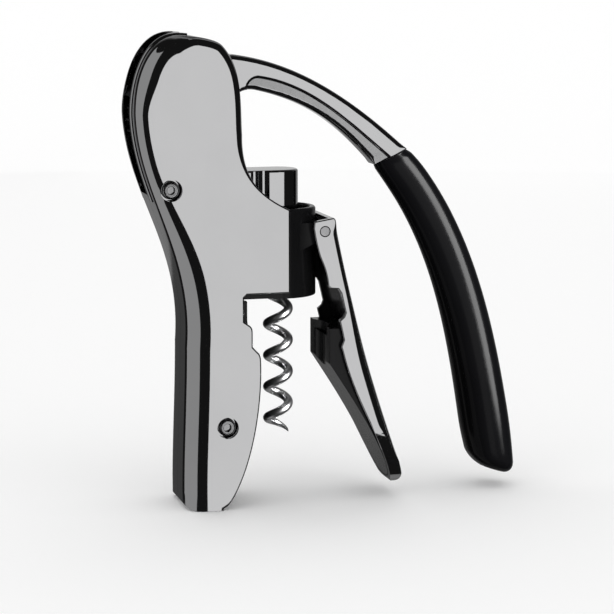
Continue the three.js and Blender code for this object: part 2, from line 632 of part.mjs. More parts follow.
function leverArm() {
  const rounding = ({ x, y: z }) => {
    const fromPivot = Math.hypot(x - PIVOT_X, z - PIVOT_Z);
    return mix(0.3, ARM_ROUNDING, smooth(fromPivot, DRUM_RADIUS + 1, DRUM_RADIUS + 8));
  };
  const body = roundedSlab(cornersOf(armOutline(), 3), ARM_WIDTH / 2, rounding, 2);
  const recesses = [-1, 1].map((side) => {
    const [near, far] = [side * (ARM_WIDTH / 2 - ARM_STEP_DEPTH), side * ARM_WIDTH].sort((a, b) => a - b);
    return prism(armRecess(), near, far);
  });
  const slotHalf = SECTOR_WIDTH / 2 + RUNNING_GAP;
  const sectorWay = new THREE.Shape([
    polar(SECTOR_BORE_RADIUS - RUNNING_GAP, SECTOR_FROM + 0.06),
    ...Array.from({ length: 13 }, (_, i) => (
      polar(SECTOR_BORE_RADIUS - RUNNING_GAP, mix(SECTOR_FROM + 0.06, SECTOR_TO - 0.06, (i + 1) / 13))
    )),
    ...Array.from({ length: 14 }, (_, i) => polar(24, mix(SECTOR_TO - 0.06, SECTOR_FROM + 0.06, i / 13))),
  ].reverse());
  return cut(
    join(body, tang(TANG_DEPTH / 2, TANG_WIDTH / 2, -0.02, TANG_SHARE)),
    prism(sectorWay, -slotHalf, slotHalf),
    ...recesses,
    crossRod(BUSH_OUTER_RADIUS + BORE_GAP, PIVOT_X, PIVOT_Z, -ARM_WIDTH, ARM_WIDTH),
    ...rivetRods(RIVET_RADIUS + BORE_GAP, ARM_WIDTH * 2),
  );
}

addPiece('gear_sector', gearSector(), DARK_STEEL);
addPiece('lever_arm', leverArm(), CHROME);
RIVET_ANGLES.forEach((_, i) => {
  addPiece(`sector_rivet_${i + 1}`, rivetRods(RIVET_RADIUS, ARM_WIDTH)[i], STEEL);
});

function axleBush(side) {
  const bore = AXLE_RADIUS + BORE_GAP;
  const profile = [
    point(bore, BUSH_END_GAP),
    point(BUSH_OUTER_RADIUS, BUSH_END_GAP),
    point(BUSH_OUTER_RADIUS, BUSH_SEAT_Y),
    point(BUSH_FLANGE_RADIUS, BUSH_SEAT_Y),
    point(BUSH_FLANGE_RADIUS, BUSH_FACE_Y),
    point(bore, BUSH_FACE_Y),
    point(bore, BUSH_END_GAP),
  ];
  const bush = new THREE.LatheGeometry(profile, 24);
  if (side < 0) bush.rotateX(Math.PI);
  return bush.translate(PIVOT_X, 0, PIVOT_Z);
}

addPiece('axle_bush_left', axleBush(-1), WHITE_PLASTIC);
addPiece('axle_bush_right', axleBush(1), WHITE_PLASTIC);

// The grip grows in depth and width from its root to its blunt end, on an oval section.
function grip() {
  const sides = 24;
  const stations = [0, 0.02, 0.08, 0.18, 0.3, 0.42, 0.54, 0.66, 0.78, 0.9, 0.965, 0.99, 1];
  const rings = stations.map((t, station) => {
    const centre = gripCentreAt(t);
    const along = gripCentreAt(Math.min(1, t + 0.01)).sub(gripCentreAt(Math.max(0, t - 0.01))).normalize();
    const across = point(-along.y, along.x)
      .lerp(GRIP_ROOT_ACROSS, 1 - smooth(t, 0, 0.12))
      .lerp(GRIP_END_ACROSS, smooth(t, 0.8, 1))
      .normalize();
    const ends = [0.93, 1, 1, 1, 1, 1, 1, 1, 1, 1, 1, 0.93, 0.72][station];
    const halfDepth = mix(GRIP_ROOT_HALF_DEPTH, GRIP_END_HALF_DEPTH, Math.sqrt(t)) * ends;
    const halfWidth = mix(GRIP_ROOT_HALF_WIDTH, GRIP_END_HALF_WIDTH, smooth(t, 0, 0.9)) * ends;
    return Array.from({ length: sides }, (_, i) => {
      const turn = (i / sides) * 2 * Math.PI;
      const squareness = 0.8;
      const depth = halfDepth * Math.sign(Math.cos(turn)) * Math.abs(Math.cos(turn)) ** squareness;
      const width = halfWidth * Math.sign(Math.sin(turn)) * Math.abs(Math.sin(turn)) ** squareness;
      return new THREE.Vector3(centre.x + across.x * depth, width, centre.y + across.y * depth);
    });
  });
  const pocket = tang(TANG_DEPTH / 2 + RUNNING_GAP, TANG_WIDTH / 2 + RUNNING_GAP, -0.05, TANG_SHARE + 0.01);
  return cut(loft(rings), pocket);
}

// Rings of equal count joined in order, each end closed by a fan to its middle.
function loft(rings) {
  const count = rings[0].length;
  const middleOf = (ring) => ring.reduce((sum, p) => sum.add(p), new THREE.Vector3()).divideScalar(count);
  const points = [...rings.flat(), middleOf(rings[0]), middleOf(rings.at(-1))];
  const index = [];
  for (let i = 0; i < count; i++) {
    const j = (i + 1) % count;
    for (let r = 0; r + 1 < rings.length; r++) {
      const [a, b, c, d] = [r * count + i, r * count + j, (r + 1) * count + j, (r + 1) * count + i];
      index.push(a, d, b, b, d, c);
    }
    const last = (rings.length - 1) * count;
    index.push(points.length - 2, i, j, points.length - 1, last + j, last + i);
  }
  return new THREE.BufferGeometry().setFromPoints(points).setIndex(index);
}

addPiece('grip', grip(), GLOSS_BLACK);

// ---------- carriage, rack, worm and nut ----------
const CARRIAGE_BACK_X = RACK_FRONT_X;
const FLOOR_TOP_Z = CARRIAGE_FOOT_Z + CARRIAGE_FLOOR;
const WASHER_TOP_Z = FLOOR_TOP_Z + RUNNING_GAP + WASHER_THICKNESS;
const CLIP_FOOT_Z = WASHER_TOP_Z + RUNNING_GAP;
const CLIP_TOP_Z = CLIP_FOOT_Z + CLIP_THICKNESS;
const SHANK_TOP_Z = CLIP_TOP_Z + 1.8;
const POCKET_TOP_Z = SHANK_TOP_Z + RUNNING_GAP;
const POCKET_RADIUS = CARRIAGE_RADIUS - CARRIAGE_WALL;
const RACK_SCREW_HEIGHTS = [27, 33];
const RACK_SCREW_RADIUS = 1.2;
const RACK_SCREW_SUNK = 0.4; // how far its head lies ahead of the teeth's roots
const RACK_SCREW_REACH = 4.9; // into the carriage block
const GROOVE_RADIUS = SHANK_RADIUS - 0.7;
const GROOVE_GAP = 0.15;

// A plan view with a half-round front about the worm's axis and a square back.
function carriagePlan(halfWidth, backX) {
  const shape = new THREE.Shape();
  shape.moveTo(backX, halfWidth);
  shape.lineTo(backX, -halfWidth);
  shape.lineTo(0, -halfWidth);
  shape.absarc(0, 0, halfWidth, -Math.PI / 2, Math.PI / 2, false);
  return shape;
}

function carriageBlock() {
  const bevel = 0.7;
  const block = new THREE.ExtrudeGeometry(carriagePlan(CARRIAGE_RADIUS - bevel, CARRIAGE_BACK_X + bevel), {
    depth: CARRIAGE_TOP_Z - CARRIAGE_FOOT_Z - 2 * bevel,
    bevelThickness: bevel,
    bevelSize: bevel,
    bevelSegments: 2,
    curveSegments: 12,
  }).translate(0, 0, CARRIAGE_FOOT_Z + bevel);
  return cut(
    block,
    column(carriagePlan(POCKET_RADIUS, CARRIAGE_BACK_X - 1), FLOOR_TOP_Z, POCKET_TOP_Z, 16),
    uprightRod(SHANK_RADIUS + BORE_GAP, CARRIAGE_FOOT_Z - 1, FLOOR_TOP_Z + 1, 32),
    ...rackScrewHoles(),
  );
}

// A round bar lengthways of the tool, on the middle plane.
const lengthwaysRod = (radius, fromX, toX, z) =>
  new THREE.CylinderGeometry(radius, radius, toX - fromX, 16)
    .rotateZ(Math.PI / 2)
    .translate((fromX + toX) / 2, 0, z);

// Through the rack, and blind in the carriage block.
function rackScrewHoles() {
  const end = RACK_FRONT_X + RACK_SCREW_REACH + 1.1;
  return RACK_SCREW_HEIGHTS.map((z) => lengthwaysRod(RACK_SCREW_RADIUS + BORE_GAP, RACK_FRONT_X - 3, end, z));
}

// Straight-sided rack teeth facing the pivot, cut from one bar.
function rack() {
  const tipX = PITCH_LINE_X - GEAR_MODULE;
  const halfAt = (x) => RACK_PITCH / 4 - TOOTH_BACKLASH / 2 - (PITCH_LINE_X - x) * Math.tan(PRESSURE_ANGLE);
  const corners = [point(RACK_FRONT_X, RACK_FOOT_Z), point(RACK_FRONT_X, RACK_TOP_Z)];
  corners.push(point(RACK_ROOT_X, RACK_TOP_Z));
  for (let tooth = RACK_TEETH - 1; tooth >= 0; tooth--) {
    const middle = RACK_FOOT_Z + RACK_PITCH * (tooth + 0.5);
    corners.push(point(RACK_ROOT_X, middle + halfAt(RACK_ROOT_X)));
    corners.push(point(tipX, middle + halfAt(tipX)));
    corners.push(point(tipX, middle - halfAt(tipX)));
    corners.push(point(RACK_ROOT_X, middle - halfAt(RACK_ROOT_X)));
  }
  corners.push(point(RACK_ROOT_X, RACK_FOOT_Z));
  const bar = prism(new THREE.Shape(corners), -RACK_WIDTH / 2, RACK_WIDTH / 2);
  return cut(bar, ...rackScrewHoles());
}

const rackScrew = (z) =>
  lengthwaysRod(RACK_SCREW_RADIUS, RACK_ROOT_X + RACK_SCREW_SUNK, RACK_FRONT_X + RACK_SCREW_REACH, z);

addPiece('carriage_block', carriageBlock(), CHROME);
addPiece('rack', rack(), DARK_STEEL);
RACK_SCREW_HEIGHTS.forEach((height, i) => addPiece(`rack_screw_${i + 1}`, rackScrew(height), STEEL));
addPiece(
  'thrust_washer',
  uprightRing(SHANK_RADIUS + BORE_GAP, POCKET_RADIUS - BORE_GAP, FLOOR_TOP_Z + RUNNING_GAP, WASHER_TOP_Z, 24),
  WHITE_PLASTIC,
);
addPiece(
  'retaining_clip',
  uprightRing(GROOVE_RADIUS + BORE_GAP, POCKET_RADIUS - 2 * BORE_GAP, CLIP_FOOT_Z, CLIP_TOP_Z, 24),
  STEEL,
);

// A round wire wound along the worm's helix between two heights, its radius given for each height.
function helixWire(radiusAt, fromZ, toZ) {
  const stepsPerTurn = 14;
  const sides = 8;
  const steps = Math.ceil(((toZ - fromZ) / WORM_LEAD) * stepsPerTurn);
  const rings = Array.from({ length: steps + 1 }, (_, i) => {
    const z = mix(fromZ, toZ, i / steps);
    const turn = (2 * Math.PI * (z - WORM_TIP_Z)) / WORM_LEAD;
    const outward = new THREE.Vector3(Math.cos(turn), Math.sin(turn), 0);
    const climb = WORM_LEAD / (2 * Math.PI * HELIX_RADIUS);
    const along = new THREE.Vector3(-outward.y, outward.x, climb).normalize();
    const across = along.cross(outward);
    return Array.from({ length: sides }, (_, side) => {
      const angle = (side / sides) * 2 * Math.PI;
      return new THREE.Vector3(0, 0, z)
        .addScaledVector(outward, HELIX_RADIUS + radiusAt(z) * Math.cos(angle))
        .addScaledVector(across, -radiusAt(z) * Math.sin(angle));
    });
  });
  return loft(rings);
}

// Wire worm with a ground point, wound up to a collar, and a grooved shank above it.
function worm() {
  const collarTop = CARRIAGE_FOOT_Z - RUNNING_GAP;
  const collarFoot = collarTop - COLLAR_THICKNESS;
  const pointShare = (z) => Math.min(1, (z - WORM_TIP_Z) / WORM_POINT_HEIGHT) ** 0.7;
  const wireRadius = (z) => WORM_WIRE_RADIUS * mix(0.12, 1, pointShare(z));
  const shank = cut(
    uprightRod(SHANK_RADIUS, collarTop - COLLAR_THICKNESS / 2, SHANK_TOP_Z, 24),
    uprightRing(GROOVE_RADIUS, SHANK_RADIUS + 1, CLIP_FOOT_Z - GROOVE_GAP, CLIP_TOP_Z + GROOVE_GAP, 24),
  );
  return join(
    helixWire(wireRadius, WORM_TIP_Z, collarTop - WORM_WIRE_RADIUS - RUNNING_GAP),
    uprightRod(WORM_OUTER_RADIUS - 0.1, collarFoot, collarTop, 32),
    shank,
  );
}

addPiece('worm', worm(), STEEL);

// Disc with a winding way through it that the wire turns along.
function wormNut() {
  const disc = uprightRod(TUBE_RADIUS - TUBE_WALL - RUNNING_GAP, NUT_FOOT_Z, NUT_TOP_Z, 40);
  return cut(disc, helixWire(() => WORM_WIRE_RADIUS + WORM_CHANNEL_GAP, NUT_FOOT_Z - 3, NUT_TOP_Z + 3));
}

addPiece('worm_nut', wormNut(), BLACK_PLASTIC);

// ---------- clamp lever and its pad ----------
const CLAMP_TIP_X = 36.2;
const CLAMP_TIP_Z = -58.8;
const CLAMP_TOP_Z = CLAMP_PIN_Z + 3.9;
const CLAMP_BACK_X = CLAMP_PIN_X - 3.4;
const CLAMP_TAPER_Z = -38;
const LIP_NOTCH_X = LIP_RADIUS + 2.5; // the flanges' notches take the bottle's lip and the ring under it
const LIP_NOTCH_TOP_Z = 2.6;
const LIP_NOTCH_FOOT_Z = -6.9;
const COLLAR_NOTCH_X = LIP_RADIUS + 2;
const COLLAR_NOTCH_Z = -12.7;
const CLAMP_PAD_BACK_X = NECK_RADIUS - 1;
const CLAMP_PAD_TOP_Z = -9.5;

// The front wall's outer line, from the tip up to the top.
const CLAMP_FRONT_LINE = new THREE.CubicBezierCurve(
  point(CLAMP_TIP_X, CLAMP_TIP_Z + 3.8),
  point(25.7, -26),
  point(LIP_NOTCH_X + 1.7, -1.5),
  point(CLAMP_PIN_X + 3.4, CLAMP_PIN_Z + 2.5),
);

// Its end points and handles, free to be moved.
const clampFrontPoints = () => ['v0', 'v1', 'v2', 'v3'].map((key) => CLAMP_FRONT_LINE[key].clone());

function clampPath() {
  const [low, lowHandle, highHandle, high] = clampFrontPoints();
  const path = new THREE.Path();
  path.moveTo(high.x - 0.8, CLAMP_TOP_Z);
  path.lineTo(CLAMP_BACK_X + 0.2, CLAMP_TOP_Z - 1);
  path.lineTo(CLAMP_BACK_X, CLAMP_TOP_Z - 3);
  path.quadraticCurveTo(CLAMP_PIN_X - 2.4, 14, CLAMP_PIN_X - 0.9, 10.8);
  path.quadraticCurveTo(LIP_NOTCH_X - 5.7, 7.5, LIP_NOTCH_X - 5.3, LIP_NOTCH_TOP_Z + 1);
  path.lineTo(LIP_NOTCH_X - 4.5, LIP_NOTCH_TOP_Z + 0.2);
  path.lineTo(LIP_NOTCH_X - 2.2, LIP_NOTCH_TOP_Z);
  path.lineTo(LIP_NOTCH_X - 1.4, LIP_NOTCH_TOP_Z - 1.3);
  path.lineTo(LIP_NOTCH_X, LIP_NOTCH_FOOT_Z + 2.3);
  path.lineTo(LIP_NOTCH_X - 0.5, LIP_NOTCH_FOOT_Z + 1);
  path.lineTo(LIP_NOTCH_X - 1.8, LIP_NOTCH_FOOT_Z);
  path.lineTo(COLLAR_NOTCH_X - 0.9, LIP_NOTCH_FOOT_Z - 1.7);
  path.lineTo(COLLAR_NOTCH_X, COLLAR_NOTCH_Z);
  path.lineTo(COLLAR_NOTCH_X - 0.8, COLLAR_NOTCH_Z - 2);
  path.lineTo(COLLAR_NOTCH_X - 0.3, COLLAR_NOTCH_Z - 3.6);
  path.bezierCurveTo(19.9, -30.4, 27.9, -42.3, low.x - 2.9, low.y - 2);
  path.quadraticCurveTo(low.x - 2, CLAMP_TIP_Z, low.x - 0.9, CLAMP_TIP_Z + 0.2);
  path.quadraticCurveTo(low.x + 0.6, CLAMP_TIP_Z + 1.2, low.x, low.y);
  path.bezierCurveTo(lowHandle.x, lowHandle.y, highHandle.x, highHandle.y, high.x, high.y);
  path.quadraticCurveTo(high.x - 0.2, CLAMP_TOP_Z - 0.1, high.x - 0.8, CLAMP_TOP_Z);
  return path;
}

// Turns a front-view shape, width by height, into a solid pushed through the tool from behind.
function frontPrism(shape, fromX, toX) {
  const depth = toX - fromX;
  const geometry = new THREE.ExtrudeGeometry(shape, { depth, bevelEnabled: false, curveSegments: 10 });
  const axes = new THREE.Matrix4().makeBasis(
    new THREE.Vector3(0, 1, 0),
    new THREE.Vector3(0, 0, 1),
    new THREE.Vector3(1, 0, 0),
  );
  return geometry.applyMatrix4(axes).translate(fromX, 0, 0);
}

// Front view of the clamp: parallel sides that close to a broad rounded tip.
function clampFront(margin) {
  const half = CLAMP_HALF - margin;
  const tip = CLAMP_TIP_Z + margin;
  const shape = new THREE.Shape();
  shape.moveTo(-half, CLAMP_TOP_Z + 6);
  shape.lineTo(-half, CLAMP_TAPER_Z);
  shape.bezierCurveTo(-half, CLAMP_TAPER_Z - 14, -half * 0.6, tip, 0, tip);
  shape.bezierCurveTo(half * 0.6, tip, half, CLAMP_TAPER_Z - 14, half, CLAMP_TAPER_Z);
  shape.lineTo(half, CLAMP_TOP_Z + 6);
  return frontPrism(shape, -5, 60);
}

// The channel behind the front wall, between the side flanges.
function clampChannel(margin) {
  const wall = point(-CLAMP_FRONT_WALL - margin, 0);
  const [low, lowHandle, highHandle, high] = clampFrontPoints().map((p) => p.add(wall));
  const shape = new THREE.Shape();
  shape.moveTo(-4, CLAMP_TOP_Z + 6);
  shape.lineTo(-4, CLAMP_TIP_Z - 4);
  shape.lineTo(low.x - 0.4, CLAMP_TIP_Z - 4);
  shape.lineTo(low.x, low.y);
  shape.bezierCurveTo(lowHandle.x, lowHandle.y, highHandle.x, highHandle.y, high.x, high.y);
  shape.lineTo(high.x - 0.4, CLAMP_TOP_Z + 6);
  return overlap(
    prism(shape, margin - CLAMP_INNER_HALF, CLAMP_INNER_HALF - margin, 12),
    clampFront(CLAMP_WALL + margin),
  );
}

function clampLever() {
  const corners = cornersOf(clampPath());
  const frontLine = CLAMP_FRONT_LINE.getPoints(40);
  const rounding = ({ x, y: z }) => {
    const nearest = frontLine.reduce((best, p) => (Math.abs(p.y - z) < Math.abs(best.y - z) ? p : best));
    const front = smooth(x - nearest.x, -3.2, -1.2) * smooth(z, CLAMP_TIP_Z + 1, CLAMP_TIP_Z + 12);
    const full = mix(CLAMP_ROUNDING, CLAMP_TOP_ROUNDING, smooth(z, COLLAR_NOTCH_Z - 10, LIP_NOTCH_TOP_Z));
    return mix(0.35, full, front * (1 - smooth(z, CLAMP_TOP_Z - 4.6, CLAMP_TOP_Z - 1)));
  };
  const reach = CLAMP_HALF + 1;
  return cut(
    overlap(roundedSlab(corners, CLAMP_HALF, rounding), clampFront(0)),
    clampChannel(0),
    crossRod(EAR_RADIUS + RUNNING_GAP, CLAMP_PIN_X, CLAMP_PIN_Z, -CLAMP_INNER_HALF, CLAMP_INNER_HALF, 24),
    crossRod(CLAMP_PIN_RADIUS + BORE_GAP, CLAMP_PIN_X, CLAMP_PIN_Z, -reach, reach, 24),
  );
}

function clampPad() {
  const shape = new THREE.Shape();
  shape.moveTo(CLAMP_PAD_BACK_X, CLAMP_PAD_TOP_Z);
  shape.lineTo(CLAMP_PAD_BACK_X, CLAMP_PAD_TOP_Z - 10.5);
  shape.bezierCurveTo(20.4, -31.4, 28.4, -43.3, CLAMP_FRONT_LINE.v0.x - 2.2, CLAMP_TIP_Z);
  shape.lineTo(CLAMP_FRONT_LINE.v0.x + 20, CLAMP_TIP_Z);
  shape.lineTo(CLAMP_FRONT_LINE.v0.x + 20, CLAMP_PAD_TOP_Z);
  const block = prism(shape, -CLAMP_HALF, CLAMP_HALF, 12);
  return cut(
    overlap(clampChannel(RUNNING_GAP), block),
    uprightRod(NECK_RADIUS + NECK_GAP, FOOT_Z - 8, 0, 48),
    uprightRod(LIP_RADIUS + NECK_GAP, COLLAR_NOTCH_Z + 0.7, 0, 48),
  );
}

addPiece('clamp_lever', clampLever(), CHROME);
addPiece('clamp_pad', clampPad(), BLACK_PLASTIC);

export default group;
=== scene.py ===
import math

import bmesh
import bpy
from mathutils import Matrix, Vector
from mathutils.geometry import interpolate_bezier


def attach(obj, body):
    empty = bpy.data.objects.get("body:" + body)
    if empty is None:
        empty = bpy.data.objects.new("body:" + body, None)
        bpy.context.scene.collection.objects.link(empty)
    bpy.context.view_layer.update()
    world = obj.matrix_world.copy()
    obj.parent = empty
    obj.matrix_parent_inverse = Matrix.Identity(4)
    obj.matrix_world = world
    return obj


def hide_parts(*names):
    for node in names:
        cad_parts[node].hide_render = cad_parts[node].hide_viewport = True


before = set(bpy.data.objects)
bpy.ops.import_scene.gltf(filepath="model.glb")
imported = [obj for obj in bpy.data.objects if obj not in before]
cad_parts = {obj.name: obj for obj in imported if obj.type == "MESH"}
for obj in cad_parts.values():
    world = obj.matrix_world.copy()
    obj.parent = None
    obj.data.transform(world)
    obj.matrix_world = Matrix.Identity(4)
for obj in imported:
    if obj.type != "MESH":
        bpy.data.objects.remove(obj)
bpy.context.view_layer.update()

# ---------- camera ----------
# A long lens, a little behind the tool's side and above its middle, so that the back and the near
# side show together with little perspective.
CAMERA_TARGET = Vector((0.009, 0, -0.0045))
CAMERA_TURN = math.radians(15)
CAMERA_RISE = math.radians(9)
CAMERA_DISTANCE = 0.7
CAMERA_LENS = 137.5
CAMERA_SENSOR = 36
towards_camera = Vector((
    -math.sin(CAMERA_TURN) * math.cos(CAMERA_RISE),
    -math.cos(CAMERA_TURN) * math.cos(CAMERA_RISE),
    math.sin(CAMERA_RISE),
))
camera = bpy.data.objects.new("camera", bpy.data.cameras.new("camera"))
camera.data.lens = CAMERA_LENS
camera.data.sensor_width = CAMERA_SENSOR
camera.location = CAMERA_TARGET + CAMERA_DISTANCE * towards_camera
camera.rotation_euler = (-towards_camera).to_track_quat("-Z", "Y").to_euler()
bpy.context.scene.collection.objects.link(camera)
bpy.context.scene.camera = camera
bpy.context.scene.view_settings.view_transform = "Standard"


# ---------- housing shells ----------
# Two zinc castings, polished and plated, that meet on the middle plane. Their edges are turned over
# in a large soft radius down the back, a smaller one round the head and a crisp one round the jaws.
HEAD_TOP_Z = 77
HEAD_BACK_X = -44.5
HEAD_FRONT_X = -13.3
SHOULDER_Z = 26.4
PLATE_FRONT_X = 0.4
PLATE_LEDGE_Z = 1.9
WAIST_BACK_X = -29.8
WAIST_Z = -13.8
FOOT_BACK_X = -30.9
FOOT_Z = -61.9
LIP_RECESS_X = -13.4
LIP_RECESS_FOOT_Z = -6
COLLAR_RECESS_X = -10.8
COLLAR_RECESS_FOOT_Z = -13.6
NECK_EDGE_X = -8.3
NECK_EDGE_Z = -18
BODY_HALF = 13.2
SHELL_WALL = 1.7
SEAM_HALF_GAP = 0.05
SLOT_HALF = 4.8
SLOT_FOOT_Z = 31
LIP_HEIGHT = 0.6
LIP_WIDTH = 1.5
HEAD_BACK_ROUNDING = 3.4
HEAD_FRONT_ROUNDING = 2.4
LOWER_BACK_ROUNDING = 6.5
HEAD_CROWN_ROUNDING = 1.6  # added to the back's towards the top of the head
PLATE_EDGE_ROUNDING = 0.5
FOOT_BEND_Z = FOOT_Z + 4.9  # below it the outline curves in to the foot
FOOT_BEND_X = -20  # and this is as far forward as that goes
FOOT_RUN_ON = 9
HOLLOW_OPEN_Z = 44
HOLLOW_FRONT_X = 20
HOLLOW_FOOT_X = -24
HOLLOW_EDGE = 0.4
BEYOND = 60  # further along than a shell or the arm reaches from the worm's axis
PIVOT = Vector((-30.2, 52.5))
AXLE_RADIUS = 2.5
AXLE_BOSS_RADIUS = 6
AXLE_BOSS_FROM_Y = 5.3
UPPER_SCREW = (-34.6, 32.9)
LOWER_SCREW = (-18.4, -37.3)
COUNTERBORE_RADIUS = 3.2
COUNTERBORE_DEPTH = 2.5
COUNTERBORE_FLOOR = 1.4
SLEEVE_WAY_RADIUS = 2.7
MILLIMETRE = 0.001


def mix(a, b, share):
    return a + (b - a) * share


def smooth(value, start, end):
    share = min(1, max(0, (value - start) / (end - start)))
    return share * share * (3 - 2 * share)


def outline(start, *parts, spacing=0.9):
    """Corners of a closed view. A straight part is its end, a curved one its handles and its end."""
    corners = []
    here = Vector(start)
    for part in parts:
        if not isinstance(part[0], tuple):
            corners.append(here)
            here = Vector(part)
            continue
        handles = [Vector(p) for p in part]
        end = handles[-1]
        if len(handles) == 2:
            handles = [here.lerp(handles[0], 2 / 3), end.lerp(handles[0], 2 / 3), end]
        count = max(4, round((end - here).length / spacing))
        curve = interpolate_bezier(*(p.to_3d() for p in (here, handles[0], handles[1], end)), count + 1)
        corners += [p.to_2d() for p in curve[:-1]]
        here = end
    if (here - corners[0]).length > 0.01:
        corners.append(here)
    return corners


def inset(corners, distance_at):
    """Moves each corner along the outline's inward normal by its own distance."""
    moved = []
    for i, corner in enumerate(corners):
        before = (corner - corners[i - 1]).normalized()
        after = (corners[(i + 1) % len(corners)] - corner).normalized()
        normal = Vector((-before.y - after.y, before.x + after.x)).normalized()
        stretch = max(0.5, normal.dot(Vector((-after.y, after.x))))
        moved.append(corner + normal * distance_at(corner) / stretch)
    return moved


def outward(bm):
    """Turns every face of a closed shape outwards."""
    bmesh.ops.recalc_face_normals(bm, faces=bm.faces)
    if bm.calc_volume(signed=True) < 0:
        bmesh.ops.reverse_faces(bm, faces=bm.faces)
    return bm


def loft(rings):
    """Grows a closed ring of points through the rings after it and closes both ends."""
    bm = bmesh.new()
    order = bm.verts.layers.int.new("order")
    verts = [bm.verts.new(p) for p in rings[0]]
    for i, vert in enumerate(verts):
        vert[order] = i
    edges = first = [bm.edges.new((a, b)) for a, b in zip(verts, verts[1:] + verts[:1])]
    for ring in rings[1:]:
        grown = bmesh.ops.extrude_edge_only(bm, edges=edges)["geom"]
        fresh = {g for g in grown if isinstance(g, bmesh.types.BMVert)}
        for vert in fresh:
            vert.co = ring[vert[order]]
        edges = [g for g in grown if isinstance(g, bmesh.types.BMEdge) and fresh.issuperset(g.verts)]
    for end in (first, edges):
        bmesh.ops.contextual_create(bm, geom=end)
    return outward(bm)


def pushed(points, way):
    """A flat outline, given in space, pushed along a vector into a solid."""
    bm = bmesh.new()
    face = bm.faces.new([bm.verts.new(p) for p in points])
    grown = bmesh.ops.extrude_face_region(bm, geom=[face])["geom"]
    moved = [g for g in grown if isinstance(g, bmesh.types.BMVert)]
    bmesh.ops.translate(bm, verts=moved, vec=way)
    return outward(bm)


def rounded_slab(corners, half_width, rounding_at, steps=8):
    """A slab across the tool whose side edges are turned over by a radius that may change."""
    turns = [(-1, math.pi / 2 * (1 - i / steps)) for i in range(steps + 1)]
    turns += [(1, math.pi / 2 * i / steps) for i in range(steps + 1)]
    rings = []
    for side, turn in turns:
        moved = inset(corners, lambda corner: rounding_at(corner) * (1 - math.cos(turn)))
        reach = [half_width - rounding_at(c) * (1 - math.sin(turn)) for c in corners]
        rings.append([(p.x, side * y, p.y) for p, y in zip(moved, reach)])
    return loft(rings)


def prism(corners, from_y, to_y):
    """A side view pushed across the tool."""
    return pushed([(p[0], from_y, p[1]) for p in corners], (0, to_y - from_y, 0))


def box(from_x, to_x, from_y, to_y, from_z, to_z):
    corners = [(from_x, from_z), (to_x, from_z), (to_x, to_z), (from_x, to_z)]
    return prism(corners, from_y, to_y)


def cross_rod(radius, place, from_y, to_y, sides=48):
    """A round bar across the tool at a place given as (x, z)."""
    bm = bmesh.new()
    bmesh.ops.create_cone(
        bm, cap_ends=True, segments=sides, radius1=radius, radius2=radius, depth=abs(to_y - from_y)
    )
    bmesh.ops.rotate(bm, verts=bm.verts, matrix=Matrix.Rotation(math.pi / 2, 3, "X"))
    bmesh.ops.translate(bm, verts=bm.verts, vec=(place[0], (from_y + to_y) / 2, place[1]))
    return bm


def placed(name, bm):
    """Puts a shape into the scene as an object."""
    mesh = bpy.data.meshes.new(name)
    bm.to_mesh(mesh)
    bm.free()
    made = bpy.data.objects.new(name, mesh)
    bpy.context.scene.collection.objects.link(made)
    return made


def carve(bm, *steps):
    """Takes away, adds or keeps only what each (operation, shape) says, in order."""
    piece = placed("tool", bm)
    tools = [piece]
    for operation, shape in steps:
        tools.append(placed("tool", shape))
        modifier = piece.modifiers.new(operation, "BOOLEAN")
        modifier.operation = operation
        modifier.solver = "EXACT"
        modifier.object = tools[-1]
    result = bmesh.new()
    result.from_object(piece, bpy.context.evaluated_depsgraph_get())
    for tool in tools:
        bpy.data.meshes.remove(tool.data)
    bmesh.ops.remove_doubles(result, verts=result.verts, dist=0.001)
    return result


class Signal:
    """One output of a material's node. Arithmetic on signals adds Math nodes."""

    def __init__(self, finish, socket):
        self.finish = finish
        self.socket = socket

    def combine(self, operation, first, second):
        return self.finish.node("Math", {"operation": operation}, {0: first, 1: second})

    def __add__(self, other):
        return self.combine("ADD", self, other)

    def __radd__(self, other):
        return self.combine("ADD", other, self)

    def __sub__(self, other):
        return self.combine("SUBTRACT", self, other)

    def __rsub__(self, other):
        return self.combine("SUBTRACT", other, self)

    def __mul__(self, other):
        return self.combine("MULTIPLY", self, other)

    def __rmul__(self, other):
        return self.combine("MULTIPLY", other, self)


class Finish:
    """A material round one Principled shader, with a method that adds any other node."""

    def __init__(self, name, **constants):
        self.material = bpy.data.materials.new(name)
        self.material.use_nodes = True
        self.tree = self.material.node_tree
        self.shader = self.tree.nodes["Principled BSDF"]
        for socket, value in constants.items():
            self.shader.inputs[socket.replace("_", " ")].default_value = value
        self.place = self.node("TexCoord", {}, {}, "Object")

    def node(self, kind, settings, inputs, output=0):
        made = self.tree.nodes.new("ShaderNode" + kind)
        for name, value in settings.items():
            setattr(made, name, value)
        for name, value in inputs.items():
            self.feed(made.inputs[name], value)
        return Signal(self, made.outputs[output])

    def feed(self, socket, value):
        if isinstance(value, Signal):
            self.tree.links.new(value.socket, socket)
        else:
            socket.default_value = value

    def set(self, **signals):
        for socket, value in signals.items():
            self.feed(self.shader.inputs[socket.replace("_", " ")], value)

    def noise(self, scale, detail=3, roughness=0.55, place=None):
        inputs = {"Vector": place or self.place, "Scale": scale, "Detail": detail, "Roughness": roughness}
        return self.node("TexNoise", {}, inputs)

    def stretched(self, scale):
        return self.node("Mapping", {}, {"Vector": self.place, "Scale": scale})

    def blend(self, share, first, second):
        return self.node("Mix", {"data_type": "RGBA"}, {0: share, 6: first, 7: second}, 2)

    def bump(self, height, strength, distance):
        inputs = {"Height": height, "Strength": strength, "Distance": distance}
        return self.node("Bump", {}, inputs)


